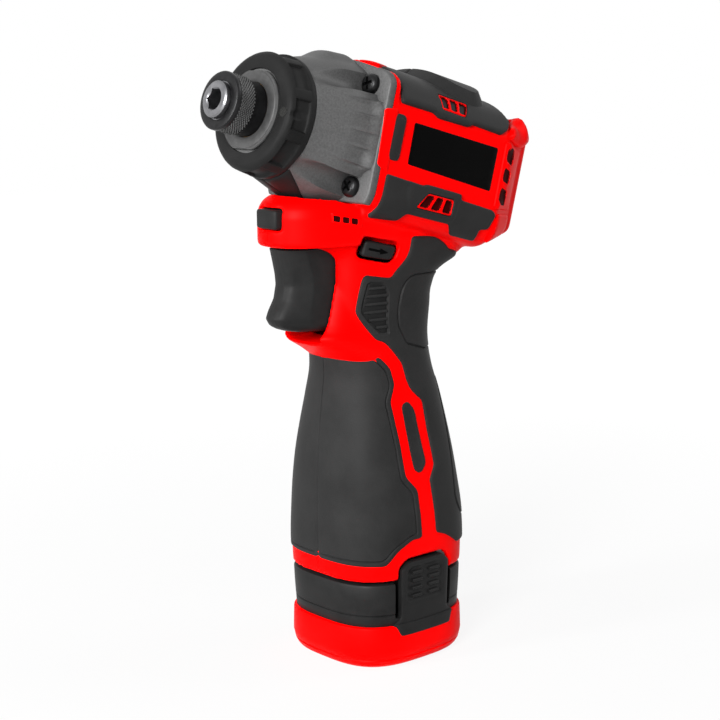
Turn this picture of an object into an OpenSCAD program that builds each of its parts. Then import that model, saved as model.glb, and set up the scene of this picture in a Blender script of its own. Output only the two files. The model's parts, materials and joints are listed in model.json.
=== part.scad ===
// Cordless impact driver with a clip-in handle battery.
// The tool stands on its battery, +Z up, the nose towards +X and its left side towards +Y.
// Pieces of the head are drawn along the drive axis, which tilts up towards the nose.

/* [Drive axis] */
// Upward tilt of the drive axis towards the nose, degrees
axis_tilt = 16; // [14:0.5:18]
// Forward offset of the drive axis reference point from the base centre
axis_x = 2.2; // [1:0.1:4]
// Height of the drive axis reference point above the base
axis_z = 172.4; // [171:0.1:174]

/* [Handle] */
// Depth of the handle at the battery joint, front to back
base_l = 52; // [50:0.5:56]
// Width of the handle at the battery joint
base_w = 50.6; // [49:0.2:54]
// Height of the handle table, up to where the neck meets the head
neck_top = 144; // [143:0.5:145]
// Height of the lower edge of the handle shell
band_z = 30.7; // [29:0.1:32]
// Wall of the handle shell
shell_wall = 2.2; // [2:0.1:2.4]
// Thickness of the soft grip
grip_t = 1; // [0.8:0.1:1.1]

/* [Head] */
// Half width of the head
head_half_w = 25.5; // [25.3:0.1:27]
// Half height of the head
head_half_h = 25; // [24.8:0.1:26]
// Radius of the four corner lobes of the head
lobe_r = 8.5; // [8:0.1:9]
// Length of the head shell behind the gear case
head_l = 69; // [68.5:0.5:74]
// Thickness of the rubber bands along the head
band_t = 1.2; // [0.8:0.1:1.6]
// Radius of the gear case at its flange
case_r = 24.8; // [24:0.1:25]

/* [Chin and trigger] */
// Forward reach of the chin from the base centre
chin_x = 45; // [44.5:0.1:47]
// Height of the underside of the chin
chin_z = 145; // [144.6:0.1:145.6]
// Half width of the chin
chin_half_w = 19; // [18.5:0.1:19.6]
// Half width of the trigger
trigger_half_w = 8.4; // [7.8:0.1:8.6]
// Depth of the trigger from its back to its tips
trigger_l = 25; // [24:0.1:25.6]
// Travel of the trigger
trigger_travel = 6; // [4:0.5:6]
// Height of the lower edge of the trigger
trigger_z = 114.4; // [114:0.1:116]
// Travel of the direction selector to each side
selector_travel = 2.5; // [1.5:0.1:2.5]

/* [Gear train] */
// Gear module
gear_module = 0.75; // [0.7:0.01:0.78]
// Teeth on the sun pinion
sun_teeth = 9; // [9]
// Teeth on each planet gear
planet_teeth = 18; // [18]
// Width of the planet gears
gear_w = 6; // [5:0.5:7]
// Pressure angle, degrees
pressure_angle = 25; // [24:0.5:26]
// Backlash on each tooth at the pitch circle
backlash = 0.12; // [0.1:0.01:0.16]

/* [Impact mechanism] */
// Radius of the hammer
hammer_r = 16.6; // [16:0.1:17]
// Length of the hammer body
hammer_l = 12; // [11:0.5:13]
// Backward travel of the hammer
hammer_travel = 5; // [4:0.5:6]
// Length of the hammer dogs
dog_l = 3.2; // [2.6:0.1:3.4]
// Radius of the spindle shaft
spindle_r = 6; // [5.6:0.1:6.2]
// Radius of the anvil journal in its bush
journal_r = 7.5; // [7.2:0.1:7.8]
// Length of the front wall of the gear case, which holds the bush
front_wall = 5.2; // [4.8:0.1:6]

/* [Bit holder] */
// Width across the flats of the hexagonal bit socket
hex_af = 6.35; // [6.35]
// Radius of the front end of the anvil
anvil_r = 5.8; // [5.6:0.05:6]
// Reach of the anvil past the gear case
anvil_out = 15.8; // [15:0.1:17]
// Radius of the bit sleeve
sleeve_r = 9.4; // [9.2:0.1:9.8]
// Forward travel of the bit sleeve
sleeve_travel = 4; // [3:0.5:4]

/* [Motor] */
// Length of the stator stack
stator_l = 30; // [28:0.5:30]
// Outer radius of the stator
stator_r = 20.5; // [19.5:0.1:20.6]
// Radius of the rotor core
rotor_r = 11.5; // [10.5:0.1:12]
// Radius of the motor shaft
shaft_r = 2.5; // [2.3:0.05:2.55]
// Width of the cooling fan
fan_w = 6; // [5:0.5:6.5]

/* [Battery] */
// Walls of the battery pack, front and back together, outside two cells in a row
pack_wall_l = 15.6; // [15:0.1:17]
// Walls of the battery pack, left and right together
pack_wall_w = 14.2; // [14:0.1:16]
// Length of a battery cell
cell_l = 65; // [64:0.5:66]
// Height of the battery cap
cap_h = 14.8; // [14:0.1:16]
// Width of the battery latches, front to back
latch_l = 21; // [20:0.5:22]
// Height of the top of the battery latches
latch_top = 36.6; // [36:0.1:37.5]

/* [Hidden] */
$fn = 48;
// Facets of shapes that are blended by hull
hull_fn = 24;
// Points round a lofted section
ring_n = 40;

// Overrun of cuts
over = 1;
// Clearance of a running fit, on the radius
run = 0.05;
// Clearance between seated pieces
seat = 0.1;
// Clearance between curved faces of different bodies
clear = 0.3;
// Free gap between turning pieces, end to end
end_gap = 0.3;

// Heights of the handle table as shares of the neck height
level_shares = [0, 0.014, 0.1, 0.213, 0.278, 0.347, 0.417, 0.486, 0.556, 0.625, 0.694, 0.764,
    0.833, 0.875, 0.917, 0.951, 1];
// Half depth at each level, as shares of the base depth
depth_shares = [0.468, 0.485, 0.487, 0.5, 0.504, 0.5, 0.487, 0.469, 0.446, 0.419, 0.385, 0.381,
    0.404, 0.412, 0.454, 0.56, 0.567];
// Half width at each level, as shares of the base width
width_shares = [0.465, 0.484, 0.486, 0.498, 0.502, 0.498, 0.482, 0.459, 0.431, 0.399, 0.364, 0.348,
    0.348, 0.352, 0.362, 0.37, 0.38];
// Forward shift of each level, as shares of the base depth
shift_shares = [0, 0, 0, 0, 0, 0.002, 0.012, 0.019, 0.023, 0.027, 0.04, 0.067, 0.096, 0.088, 0.046,
    -0.063, -0.067];
// Squareness of the section at each level
square_powers = [3, 3, 3, 3, 3, 2.9, 2.8, 2.7, 2.5, 2.3, 2.2, 2.3, 2.8, 2.8, 2.8, 3, 3];

// Side outline of the front grip: shares of the base depth and of the neck height
front_grip_shares = [[0.9, 0.728], [0.42, 0.752], [0.29, 0.745], [0.16, 0.697], [0.15, 0.664],
    [0.2, 0.624], [0.158, 0.527], [0.145, 0.452], [0.06, 0.415], [0.04, 0.303], [0.125, 0.303],
    [0.312, 0.25], [0.9, 0.25]];
// Side outline of the rear grip
rear_grip_shares = [[-0.9, 0.908], [-0.52, 0.925], [-0.25, 0.96], [-0.2, 0.99], [0.02, 0.99],
    [0.05, 0.955], [0.17, 0.91], [0.325, 0.92], [0.355, 0.832], [0.25, 0.767], [0.205, 0.762],
    [0.077, 0.71], [0.042, 0.653], [-0.036, 0.622], [-0.1, 0.469], [-0.056, 0.436], [-0.062, 0.312],
    [-0.13, 0.305], [-0.3, 0.26], [-0.9, 0.26]];

// Table lookup by height
function column(values) = [for (i = [0 : len(level_shares) - 1]) [level_shares[i], values[i]]];
function half_depth(z) = base_l * lookup(z / neck_top, column(depth_shares));
function half_width(z) = base_w * lookup(z / neck_top, column(width_shares));
function shift_x(z) = base_l * lookup(z / neck_top, column(shift_shares));
function square_power(z) = lookup(z / neck_top, column(square_powers));
// Point of a superellipse at a turn angle
function power_of(v, n) = sign(v) * pow(abs(v), 2 / n);
function section_point(z, inset, a) =
    [shift_x(z) + (half_depth(z) - inset) * power_of(cos(a), square_power(z)),
     (half_width(z) - inset) * power_of(sin(a), square_power(z)), z];

// Axial stations from the gear case's back face, along the drive axis
case_back = 12;
// Part of the ring gear that stands out of the gear case
ring_out = 2.5;
plate_front = case_back - ring_out - seat;
// Thickness of the cage's back disc
cage_t = 2.2;
// Thickness of the carrier's front disc
carrier_t = 4;
cage_back = plate_front + end_gap;
planet_back = cage_back + cage_t + end_gap;
planet_front = planet_back + gear_w;
carrier_back = planet_front + end_gap;
carrier_front = carrier_back + carrier_t;
hammer_back = carrier_front + hammer_travel + end_gap;
hammer_front = hammer_back + hammer_l;
wing_back = hammer_front + end_gap;
wing_front = hammer_front + dog_l;
// Thickness of the thrust washer
washer_t = 0.8;
washer_back = wing_front + end_gap;
wall_back = washer_back + washer_t + seat;
case_front = wall_back + front_wall;
// Length of the nose bumper
bumper_l = 9;
bumper_back = case_front - bumper_l;
// Thickness of the bumper's front lip
bumper_lip = 0.9;
bumper_front = case_front + bumper_lip;
// Thickness of the nose ring
nose_ring_t = 2;
anvil_tip = case_front + anvil_out;

// Bearings and the plate that holds them
motor_brg_r = 6.5;
motor_brg_w = 4;
spindle_brg_r = 10.5;
spindle_brg_w = 4;
boss_r = 7;
// Web of the motor plate between its two bearings
plate_web = 1.3;
plate_back = plate_front - spindle_brg_w - motor_brg_w - plate_web;
// Motor stations, from the plate backwards
fan_gap = 1;
fan_front = plate_back - fan_gap;
fan_back = fan_front - fan_w;
// Overhang of the windings past the stator stack
winding_over = 3;
// Air gap between the windings and their neighbours
winding_gap = 0.8;
stator_front = fan_back - winding_over - winding_gap;
stator_back = stator_front - stator_l;
board_t = 1.6;
board_front = stator_back - winding_over - winding_gap;
rear_brg_front = board_front - board_t - fan_gap;
cavity_back = rear_brg_front - motor_brg_w - end_gap;
head_back = case_back - head_l;
// Draw-in of the corner lobes at the back of the head
back_share = 0.86;

// Gear sizes
ring_teeth = sun_teeth + 2 * planet_teeth;
addendum_share = 0.8;
dedendum_share = 1.05;
gear_centre = gear_module * (sun_teeth + planet_teeth) / 2;
ring_wall = 1.6;
ring_r = gear_module * (ring_teeth / 2 + dedendum_share) + ring_wall;
planet_pin_r = 2.5;
carrier_r = gear_centre + planet_pin_r + cage_t - end_gap;
// Radius of the hole that clears the pinion
pinion_hole_r = 4.6;

// Gear case outline
case_wall = 2.6;
case_nose_r = hammer_r + clear + case_wall;
// Shoulder of the gear case: its place along the cone and its drop from the flange radius
shoulder_share = 0.55;
case_drop = 1.5;
case_shoulder = case_back + (bumper_back - case_back) * shoulder_share;
flange_t = 2.4;
ear_l = 6;
case_screw_back = case_back - ear_l;
ear_y = head_half_w - lobe_r;
ear_z = head_half_h - lobe_r;
screw_r = 1.5;
screw_head_r = 3.2;
screw_head_h = 2.4;
// Width and length of the arms of a cross recess
cross_share = 0.3;
cross_reach_share = 1.2;
spigot_r = 17.2;
rib_w = 1.2;
rib_h = 0.9;
rib_side = 2;
rib_pitch = 13;

// Nose pieces
bumper_r = case_nose_r + clear;
bumper_nose_r = bumper_r - bumper_lip - clear;
nose_ring_r = 13.2;
nose_hole_r = sleeve_r - run - seat - run;
lens_r = 1.6;
lens_n = 2;
lens_ring_r = (nose_ring_r + bumper_nose_r) / 2;
bush_wall = 1.8;
bush_r = journal_r + bush_wall;

// Bit sleeve
neck_clear = 0.7;
neck_r = nose_hole_r - neck_clear;
sleeve_back = case_front + nose_ring_t - neck_clear;
// Step of the sleeve's front edge behind the anvil's tip
sleeve_step = 1.8;
sleeve_front = anvil_tip - sleeve_step;
// Room round the anvil for the sleeve spring
spring_room = 1.9;
recess_r = anvil_r + spring_room;
clip_t = 1;
clip_front = sleeve_front - neck_clear;
clip_depth = 0.3;
// Length of the sleeve spring when it is pressed flat
flat_spring = 0.9;
sleeve_seat = clip_front - clip_t - flat_spring - sleeve_travel;
clip_r = recess_r - clear;
ball_r = 1.5;
ball_x = sleeve_seat - ball_r;
relief_l = 2.7;
relief_depth = 0.8;
relief_r = anvil_r + relief_depth;
knurl_n = 32;
knurl_r = 0.5;
knurl_l = 7.6;
knurl_back = sleeve_front - knurl_l;
hex_depth = 17;
pilot_r = 3.5;
pilot_l = 5.5;

// Impact pieces
dog_r = 15;
dog_in_r = 8.6;
dog_angle = 40;
cam_ball_r = 1.75;
cam_inset = 8.5;
cam_x = hammer_back + cam_inset;
spring_turns = 3;
spring_wire_r = 0.7;
spring_pocket = 6;
// Wall between the hammer's bore and its spring pocket, and the pocket's width
pocket_wall = 2.2;
pocket_w = 4.8;
spring_in_r = spindle_r + pocket_wall;
spring_out_r = spring_in_r + pocket_w;
spring_r = (spring_in_r + spring_out_r) / 2;
spring_back = carrier_front + seat;
spring_front = hammer_back + spring_pocket - seat;

// Motor pieces
slot_n = 6;
back_iron = 3.5;
bore_gap = 0.6;
tooth_w = 6;
// Half width of a slot and of the coil in it
slot_half = ((rotor_r + bore_gap) * sin(180 / slot_n) - tooth_w / 2) / cos(180 / slot_n);
coil_half = slot_half - 2 * clear;
fan_r = 18.6;
fan_hub_r = 6;
blade_n = 9;
blade_t = 1.2;
cavity_r = stator_r + clear;
fan_bay_r = cavity_r + over;
rear_brg_r = 8;

// Chin, trigger and neck
chin_back = -26;
chin_rise = 26;
chin_power = 2.3;
// Gap under the trigger and height of the lip
lip_gap = 1.4;
lip_h = 9;
lip_z = trigger_z - lip_gap;
lip_base = lip_z - lip_h;
lip_reach = 34;
lip_half_w = 15;
trigger_back = chin_x - trigger_l;
trigger_gap = 0.7;
trigger_top = chin_z - trigger_gap;
trigger_round = 3;
trigger_power = 2.6;
finger_r = 17;
finger_depth = 4;
switch_l = 20;
switch_half_w = 8;
switch_lift = 0.6;
switch_z = trigger_z + switch_lift;
switch_h = 20;
switch_gap = 1.2;
switch_front = trigger_back - trigger_travel - switch_gap;
plunger_r = 2;
plunger_z = switch_z + switch_h / 2;
plunger_in = 3;
plunger_bore = 12;
selector_x = 14;
selector_z = 140.5;
selector_l = 15.4;
selector_h = 6.2;
selector_pad = 3;
selector_y = 17.6;
selector_bar_l = 6;
selector_bar_h = 4;
selector_bar_x = -5.5;
selector_slant = 6;
// Floor of the selector's pocket
selector_in = selector_y - selector_pad - selector_travel - clear;
rib_t = 2;

// Work light and gauge
light_half_w = 5.6;
light_z = 148.4;
light_h = 6.6;
light_out = 0.8;
light_l = 5;
gauge_x = 22.2;
gauge_pitch = 3.1;
gauge_n = 3;
gauge_l = 2.2;
gauge_h = 1.9;
gauge_drop = 10.4;
gauge_z = axis_z - case_r / 2 - gauge_drop;
gauge_y = 14;
gauge_board_t = 1.4;
// Outward reach of the first window, and the fall of the chin's side at each next one
gauge_reach = 18;
gauge_step = 0.7;

// Battery
// Wall between the cells
cell_wall = 0.6;
cell_r = min(base_l - pack_wall_l, base_w - pack_wall_w) / 4;
cell_spread = (cell_r * 2 + cell_wall + 2 * seat) / sqrt(3);
cell_z = 4;
tower_wall = 1.2;
tower_r = cell_r + tower_wall + seat;
tower_top = cell_z + cell_l + tower_wall;
stem_h = 20;
stem_top = tower_top + stem_h;
stem_x = 12;
stem_y = 10;
latch_half = latch_l / 2;
latch_z = 11;
latch_t = 2.4;
latch_gap = 0.5;
latch_room = 2.6;
battery_screw_shares = [0.6, 0.56];

// Side trim on the head
pad_l = 4.2;
pad_h = 13.4;
pad_x = 8.4;
pad_t = 0.9;
plate_l = 38.6;
plate_h = 14;
plate_x = -14.6;
plate_t = 0.8;
trim_out = 0.3;
trim_z = 1;
band_low = 12.4;
skirt_high = -10.6;
skirt_low = -19.2;
band_front = 9.6;
band_back = -37;
skirt_back = -43;
vent_n = 3;
vent_pitch = 4.6;
vent_w = 2.6;
vent_h = 4.4;
vent_x = -6.6;
rear_vent_x = -41;
rear_vent_l = 3;
rear_vent_h = 5;
rear_vent_pitch = 7;
vent_slant = 18;
vent_lift_share = 0.72;

// Shell screws: places along the drive axis and across it, as shares of the head's half height
shell_screw_x = [-52, -52];
shell_screw_shares = [0.68, -0.68];
chin_screw = [36, 147];
tang_screw = [-19, 139];
shell_screw_r = 1.4;
shell_screw_head_r = 2.7;
shell_screw_half = 13;
shell_screw_sink = 3;
boss_wall = 1.8;

// Places a child in the head, with its X along the drive axis
module on_axis() {
    translate([axis_x, 0, axis_z]) rotate([0, -axis_tilt, 0]) children();
}

// Solid rod along the local X axis
module rod(x0, x1, r) {
    translate([x0, 0, 0]) rotate([0, 90, 0]) cylinder(h = x1 - x0, r = r);
}

// Tapered rod along the local X axis
module cone(x0, x1, r0, r1) {
    translate([x0, 0, 0]) rotate([0, 90, 0]) cylinder(h = x1 - x0, r1 = r0, r2 = r1);
}

// Tube along the local X axis
module tube(x0, x1, r_out, r_in) {
    difference() {
        rod(x0, x1, r_out);
        rod(x0 - over, x1 + over, r_in);
    }
}

// Copies a child at equal turns round the local X axis
module around(n, first = 0) {
    for (i = [0 : n - 1]) rotate([first + i * 360 / n, 0, 0]) children();
}

// Box given by its two opposite corners
module span(low, high) {
    translate(low) cube(high - low);
}

// Lofted handle form between two heights, drawn in by an inset, with a ring at each table level
module handle_form(z0, z1, inset) {
    between = [for (share = level_shares) if (share * neck_top > z0 + seat && share * neck_top < z1 - seat)
        share * neck_top];
    levels = concat([z0], between, [z1]);
    last = len(levels) - 1;
    points = [for (z = levels) for (i = [0 : ring_n - 1]) section_point(z, inset, i * 360 / ring_n)];
    sides = [for (k = [0 : last - 1]) for (i = [0 : ring_n - 1]) for (f = [0, 1])
        let (j = (i + 1) % ring_n, a = k * ring_n, b = a + ring_n)
        f == 0 ? [a + i, b + i, b + j] : [a + i, b + j, a + j]];
    bottom = [[for (i = [0 : ring_n - 1]) i]];
    top = [[for (i = [0 : ring_n - 1]) last * ring_n + ring_n - 1 - i]];
    polyhedron(points, concat(sides, bottom, top));
}

// Flat plan of a superellipse that runs from a back to a front place
module plan(back, front, half, n) {
    centre = (back + front) / 2;
    reach = (front - back) / 2;
    polygon([for (i = [0 : ring_n - 1]) let (a = i * 360 / ring_n)
        [centre + reach * power_of(cos(a), n), half * power_of(sin(a), n)]]);
}

// Thin slab of a plan, for blending, grown by an amount
module slab(z, back, front, half, n, grow) {
    translate([0, 0, z]) linear_extrude(over / 2) plan(back - grow, front + grow, half + grow, n);
}

// Head body, grown by an amount: square with round corner lobes, drawn in at the back
module head_form(grow) {
    lobe_front = case_back;
    shoulder = head_back + lobe_r * 2;
    hull() {
        for (y = [-ear_y, ear_y], z = [-ear_z, ear_z]) {
            translate([0, y, z]) rotate([0, 90, 0]) translate([0, 0, shoulder])
                cylinder(h = lobe_front - shoulder, r = lobe_r + grow, $fn = hull_fn);
            translate([head_back + lobe_r / 2, y * back_share, z * back_share])
                sphere(r = lobe_r / 2 + grow, $fn = hull_fn);
        }
    }
}
// Chin under the gear case
module chin_form(grow) {
    hull() {
        slab(chin_z - grow, chin_back, chin_x - over, chin_half_w - over, chin_power, grow);
        slab(chin_z + over, chin_back, chin_x, chin_half_w, chin_power, grow);
        slab(chin_z + chin_rise / 2, chin_back, chin_x - over, chin_half_w, chin_power, grow);
    }
}

// Lip below the trigger
module lip_form(grow) {
    lip_width = half_width(lip_base) - seat;
    lip_back = -half_depth(lip_base) / 2;
    hull() {
        slab(lip_base - grow, lip_back, half_depth(lip_base), lip_width, 2, grow);
        slab(lip_z - over, lip_back, lip_reach, lip_half_w, 2, grow);
        slab(lip_z - over / 2 + grow, lip_back, lip_reach - over / 2, lip_half_w, 2, grow);
    }
}

// Prism of a side outline on one side of the handle
module side_prism(shares, side, shrink) {
    points = [for (p = shares) [p[0] * base_l, p[1] * neck_top]];
    mirror([0, side < 0 ? 1 : 0, 0])
        translate([0, shrink, 0]) rotate([90, 0, 0]) mirror([0, 0, 1])
            linear_extrude(base_w) offset(delta = -shrink) polygon(points);
}

// Soft skin of the handle between an outer and an inner depth
module grip_skin(shares, side, outer, inner, shrink) {
    intersection() {
        difference() {
            handle_form(band_z, neck_top - over, outer);
            handle_form(band_z - over, neck_top, inner);
        }
        side_prism(shares, side, shrink);
    }
}

// Soft grip on one side
module grip(shares, side) {
    difference() {
        grip_skin(shares, side, 0, grip_t, seat);
        fixed_forms(seat);
    }
}

// Forms that stand out of the handle: head, chin and lip
module fixed_forms(grow) {
    on_axis() head_form(grow);
    intersection() {
        chin_form(grow);
        on_axis() span([head_back, -base_w, -base_w], [base_w * 2, base_w, 0]);
    }
    lip_form(grow);
}

// Whole outer form of the two shells, with recesses for the grips
module shell_form() {
    fixed_forms(0);
    difference() {
        handle_form(band_z, neck_top + over, 0);
        for (s = [-1, 1], shares = [front_grip_shares, rear_grip_shares])
            grip_skin(shares, s, -over, grip_t + seat, 0);
    }
}

// Skin over the head's long edges
module band_skin(side, low, high) {
    mirror([0, side < 0 ? 1 : 0, 0]) intersection() {
        difference() {
            head_form(low);
            head_form(high);
        }
        union() {
            span([band_back, seat, band_low], [band_front, base_w, base_w]);
            span([skirt_back, ear_y, skirt_low], [band_front, base_w, skirt_high]);
        }
    }
}

// Domed cone of the gear case
module case_cone(grow) {
    rotate([0, 90, 0]) rotate_extrude()
        polygon([[0, case_back], [case_r + grow, case_back], [case_r - case_drop + grow, case_shoulder],
            [case_nose_r + grow, bumper_back], [0, bumper_back]]);
}

// Outline of the gear case, grown by an amount
module case_form(grow) {
    on_axis() {
        case_cone(grow + rib_h);
        rod(bumper_back - over, bumper_front + over, bumper_r + grow);
        for (y = [-ear_y, ear_y], z = [-ear_z, ear_z])
            translate([0, y, z]) {
                rod(case_back, case_back + flange_t + grow, lobe_r + grow);
                rod(case_back, case_back + ear_l + grow, lobe_r - over + grow);
                rod(case_screw_back - end_gap, case_back + over, screw_r + grow);
            }
        span([case_back, -head_half_w - grow, -ear_z],
            [case_back + flange_t + grow, head_half_w + grow, ear_z]);
        span([case_back, -ear_y, -head_half_h - grow],
            [case_back + flange_t + grow, ear_y, head_half_h + grow]);
    }
}

// Hollow of the head for the motor, in the drive axis frame
module head_cavity() {
    rod(stator_front, case_back + over, fan_bay_r);
    rod(board_front - board_t - end_gap, stator_front + over, cavity_r);
    rod(cavity_back, rear_brg_front + over, rear_brg_r + seat);
    rod(rear_brg_front, board_front, cavity_r - lobe_r);
}

// Hollow of the handle for the battery tower, the switch and the wires
module handle_cavity() {
    difference() {
        union() {
            handle_form(band_z - over, neck_top - over, shell_wall);
            span([chin_back / 2, -switch_half_w, neck_top - shell_wall], [selector_x, switch_half_w, axis_z]);
        }
        at_shell_screws()
            cylinder(h = base_w, r = shell_screw_r + boss_wall, center = true, $fn = hull_fn);
        for (z = [switch_z + rib_t, switch_z + switch_h - rib_t - rib_t], y = [-1, 1])
            translate([-base_l / 2, y * (switch_half_w + seat + base_w / 2), z])
                translate([0, -base_w / 2, 0]) cube([base_l, base_w, rib_t]);
    }
}

// Slot, pocket and bar hole for the trigger and the selector
module control_cuts() {
    span([switch_front + seat, -trigger_half_w - clear, trigger_z - clear],
        [chin_x + chin_x, trigger_half_w + clear, chin_z - seat]);
    translate([selector_x, 0, selector_z]) rotate([0, selector_slant, 0]) {
        for (s = [-1, 1])
            translate([-selector_l / 2 - clear, s > 0 ? selector_in : -base_w, -selector_h / 2 - clear])
                cube([selector_l + 2 * clear, base_w - selector_in, selector_h + 2 * clear]);
        translate([selector_bar_x, 0, 0])
            cube([selector_bar_l + 2 * clear, base_w, selector_bar_h + 2 * clear], center = true);
    }
}

// Pockets for the work light and the charge gauge
module light_cuts() {
    span([chin_x - light_l - over, -light_half_w - seat, light_z - seat],
        [chin_x + chin_x, light_half_w + seat, light_z + light_h + seat]);
    for (i = [0 : gauge_n - 1])
        translate([gauge_x + i * gauge_pitch, gauge_y, gauge_z])
            translate([-seat, -over, -seat]) cube([gauge_l + 2 * seat, base_w, gauge_h + 2 * seat]);
    span([gauge_x - over, gauge_y - gauge_board_t - seat, gauge_z - over],
        [gauge_x + gauge_n * gauge_pitch, gauge_y, gauge_z + gauge_h + over]);
}

// Rounded slot through a side wall, in the drive axis frame
module vent(x, z, l, h, slant) {
    translate([x, 0, z]) rotate([0, slant, 0]) hull()
        for (s = [-1, 1])
            translate([0, 0, s * (h - l) / 2]) rotate([90, 0, 0])
                cylinder(h = base_w * 2, r = l / 2, center = true, $fn = hull_fn);
}

// Cooling slots of the head
module vents() {
    for (i = [0 : vent_n - 1]) {
        vent(vent_x + (i - 1) * vent_pitch, band_low + vent_h * vent_lift_share, vent_w, vent_h, vent_slant);
        vent(vent_x + (i - 1) * vent_pitch, skirt_high - vent_h, vent_w, vent_h, vent_slant);
        vent(rear_vent_x, trim_z + (i - 1) * rear_vent_pitch, rear_vent_l, rear_vent_h, 0);
    }
}

// Places a child at each shell screw, with its Z towards the right side
module at_shell_screws() {
    on_axis() for (i = [0 : 1])
        translate([shell_screw_x[i], 0, shell_screw_shares[i] * head_half_h]) rotate([90, 0, 0]) children();
    translate([chin_screw[0], 0, chin_screw[1]]) rotate([90, 0, 0]) children();
    translate([tang_screw[0], 0, tang_screw[1]]) rotate([90, 0, 0]) children();
}

// Hole and head recess of a shell screw
module shell_screw_hole() {
    translate([0, 0, -shell_screw_half - seat])
        cylinder(h = 2 * shell_screw_half, r = shell_screw_r + seat, $fn = hull_fn);
    translate([0, 0, shell_screw_half - shell_screw_sink])
        cylinder(h = base_w, r = shell_screw_head_r + seat, $fn = hull_fn);
}

// Flat recesses for the side pads and name plates
module trim_cuts() {
    on_axis() for (s = [-1, 1]) {
        translate([pad_x, s * head_half_w, trim_z])
            cube([pad_l + 2 * seat, 2 * (pad_t + seat), pad_h + 2 * seat], center = true);
        translate([plate_x, s * head_half_w, trim_z])
            cube([plate_l + 2 * seat, 2 * (plate_t + seat), plate_h + 2 * seat], center = true);
    }
}

// Arched opening in the shell's lower edge round a battery latch
module latch_arch() {
    for (s = [-1, 1])
        translate([0, s * base_w / 2, 0])
            span([-latch_half - latch_gap, -base_w / 8, 0],
                [latch_half + latch_gap, base_w / 8, latch_top + latch_gap]);
}

// Both shells before they are parted
module shell_body() {
    difference() {
        shell_form();
        handle_cavity();
        on_axis() head_cavity();
        case_form(clear);
        control_cuts();
        light_cuts();
        on_axis() vents();
        at_shell_screws() shell_screw_hole();
        trim_cuts();
        latch_arch();
    }
}

// One shell, on the left for 1 and on the right for -1
module half_shell(side) {
    intersection() {
        shell_body();
        translate([0, side * (base_w + run), axis_z / 2])
            cube([axis_z * 2, base_w * 2, axis_z * 2], center = true);
    }
}

module housing_left() { color("red") half_shell(1); }
module housing_right() { color("red") half_shell(-1); }

module front_grip_left() { color("dimgray") grip(front_grip_shares, 1); }
module front_grip_right() { color("dimgray") grip(front_grip_shares, -1); }
module rear_grip_left() { color("dimgray") grip(rear_grip_shares, 1); }
module rear_grip_right() { color("dimgray") grip(rear_grip_shares, -1); }

module head_bands(side) {
    difference() {
        on_axis() band_skin(side, band_t, seat);
        on_axis() vents();
        case_form(clear);
        at_shell_screws() shell_screw_hole();
        handle_form(band_z, neck_top + over, -clear);
    }
}
module head_bands_left() { color("dimgray") head_bands(1); }
module head_bands_right() { color("dimgray") head_bands(-1); }

// Raised oval pads beside the gear case
module side_pads() {
    color("black") on_axis() for (s = [-1, 1])
        translate([pad_x, s * (head_half_w - (pad_t - trim_out) / 2), trim_z]) {
            cube([pad_l, pad_t + trim_out, pad_h - pad_l], center = true);
            for (e = [-1, 1]) translate([0, 0, e * (pad_h - pad_l) / 2]) rotate([90, 0, 0])
                cylinder(h = pad_t + trim_out, r = pad_l / 2, center = true);
        }
}

// Bare plates on the sides
module name_plates() {
    color("black") on_axis() for (s = [-1, 1])
        translate([plate_x, s * (head_half_w - (plate_t - trim_out) / 2), trim_z])
            cube([plate_l, plate_t + trim_out, plate_h], center = true);
}

// Solid of the gear case with its flange, ears and ribs
module case_solid() {
    case_cone(0);
    rod(bumper_back - over, case_front, spigot_r);
    for (y = [-ear_y, ear_y], z = [-ear_z, ear_z])
        translate([0, y, z]) {
            rod(case_back, case_back + flange_t, lobe_r);
            rod(case_back, case_back + ear_l, lobe_r - over);
        }
    span([case_back, -head_half_w, -ear_z], [case_back + flange_t, head_half_w, ear_z]);
    span([case_back, -ear_y, -head_half_h], [case_back + flange_t, ear_y, head_half_h]);
    intersection() {
        case_cone(rib_h);
        for (side = [90, 270], i = [-rib_side : rib_side]) rotate([side + i * rib_pitch, 0, 0])
            span([case_back + flange_t / 2, -rib_w / 2, case_nose_r - rib_h],
                [case_shoulder + ear_l, rib_w / 2, case_r + rib_h]);
    }
}

module gear_case() {
    color("gray") on_axis() difference() {
        case_solid();
        rod(case_back - over, carrier_back, ring_r + seat);
        rod(carrier_back - over, hammer_front + end_gap, hammer_r + clear);
        rod(hammer_front, wall_back, dog_r + clear);
        rod(wall_back - over, case_front + over, bush_r + run);
        for (y = [-ear_y, ear_y], z = [-ear_z, ear_z])
            translate([0, y, z]) {
                rod(case_back - over, case_back + ear_l + over, screw_r + seat);
                rod(case_back + ear_l, case_front, screw_head_r + clear);
            }
    }
}

// Rubber ring round the nose, with pockets for the ring light
module nose_bumper() {
    color("black") on_axis() difference() {
        union() {
            cone(bumper_back + seat, bumper_front - bumper_lip, bumper_r, bumper_nose_r + bumper_lip / 2);
            cone(bumper_front - bumper_lip, bumper_front, bumper_nose_r + bumper_lip / 2,
                bumper_nose_r - bumper_lip / 2);
        }
        rod(bumper_back - over, case_front + seat, spigot_r + seat);
        rod(case_front, bumper_front + over, nose_ring_r + seat);
        around(lens_n) translate([0, lens_ring_r, 0])
            rod(case_front - over, bumper_front + over, lens_r + seat);
    }
}

// Small lenses of the ring light
module ring_light_lenses() {
    color("white") on_axis() around(lens_n)
        translate([0, lens_ring_r, 0]) rod(case_front + seat, bumper_front + seat, lens_r);
}

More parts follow.
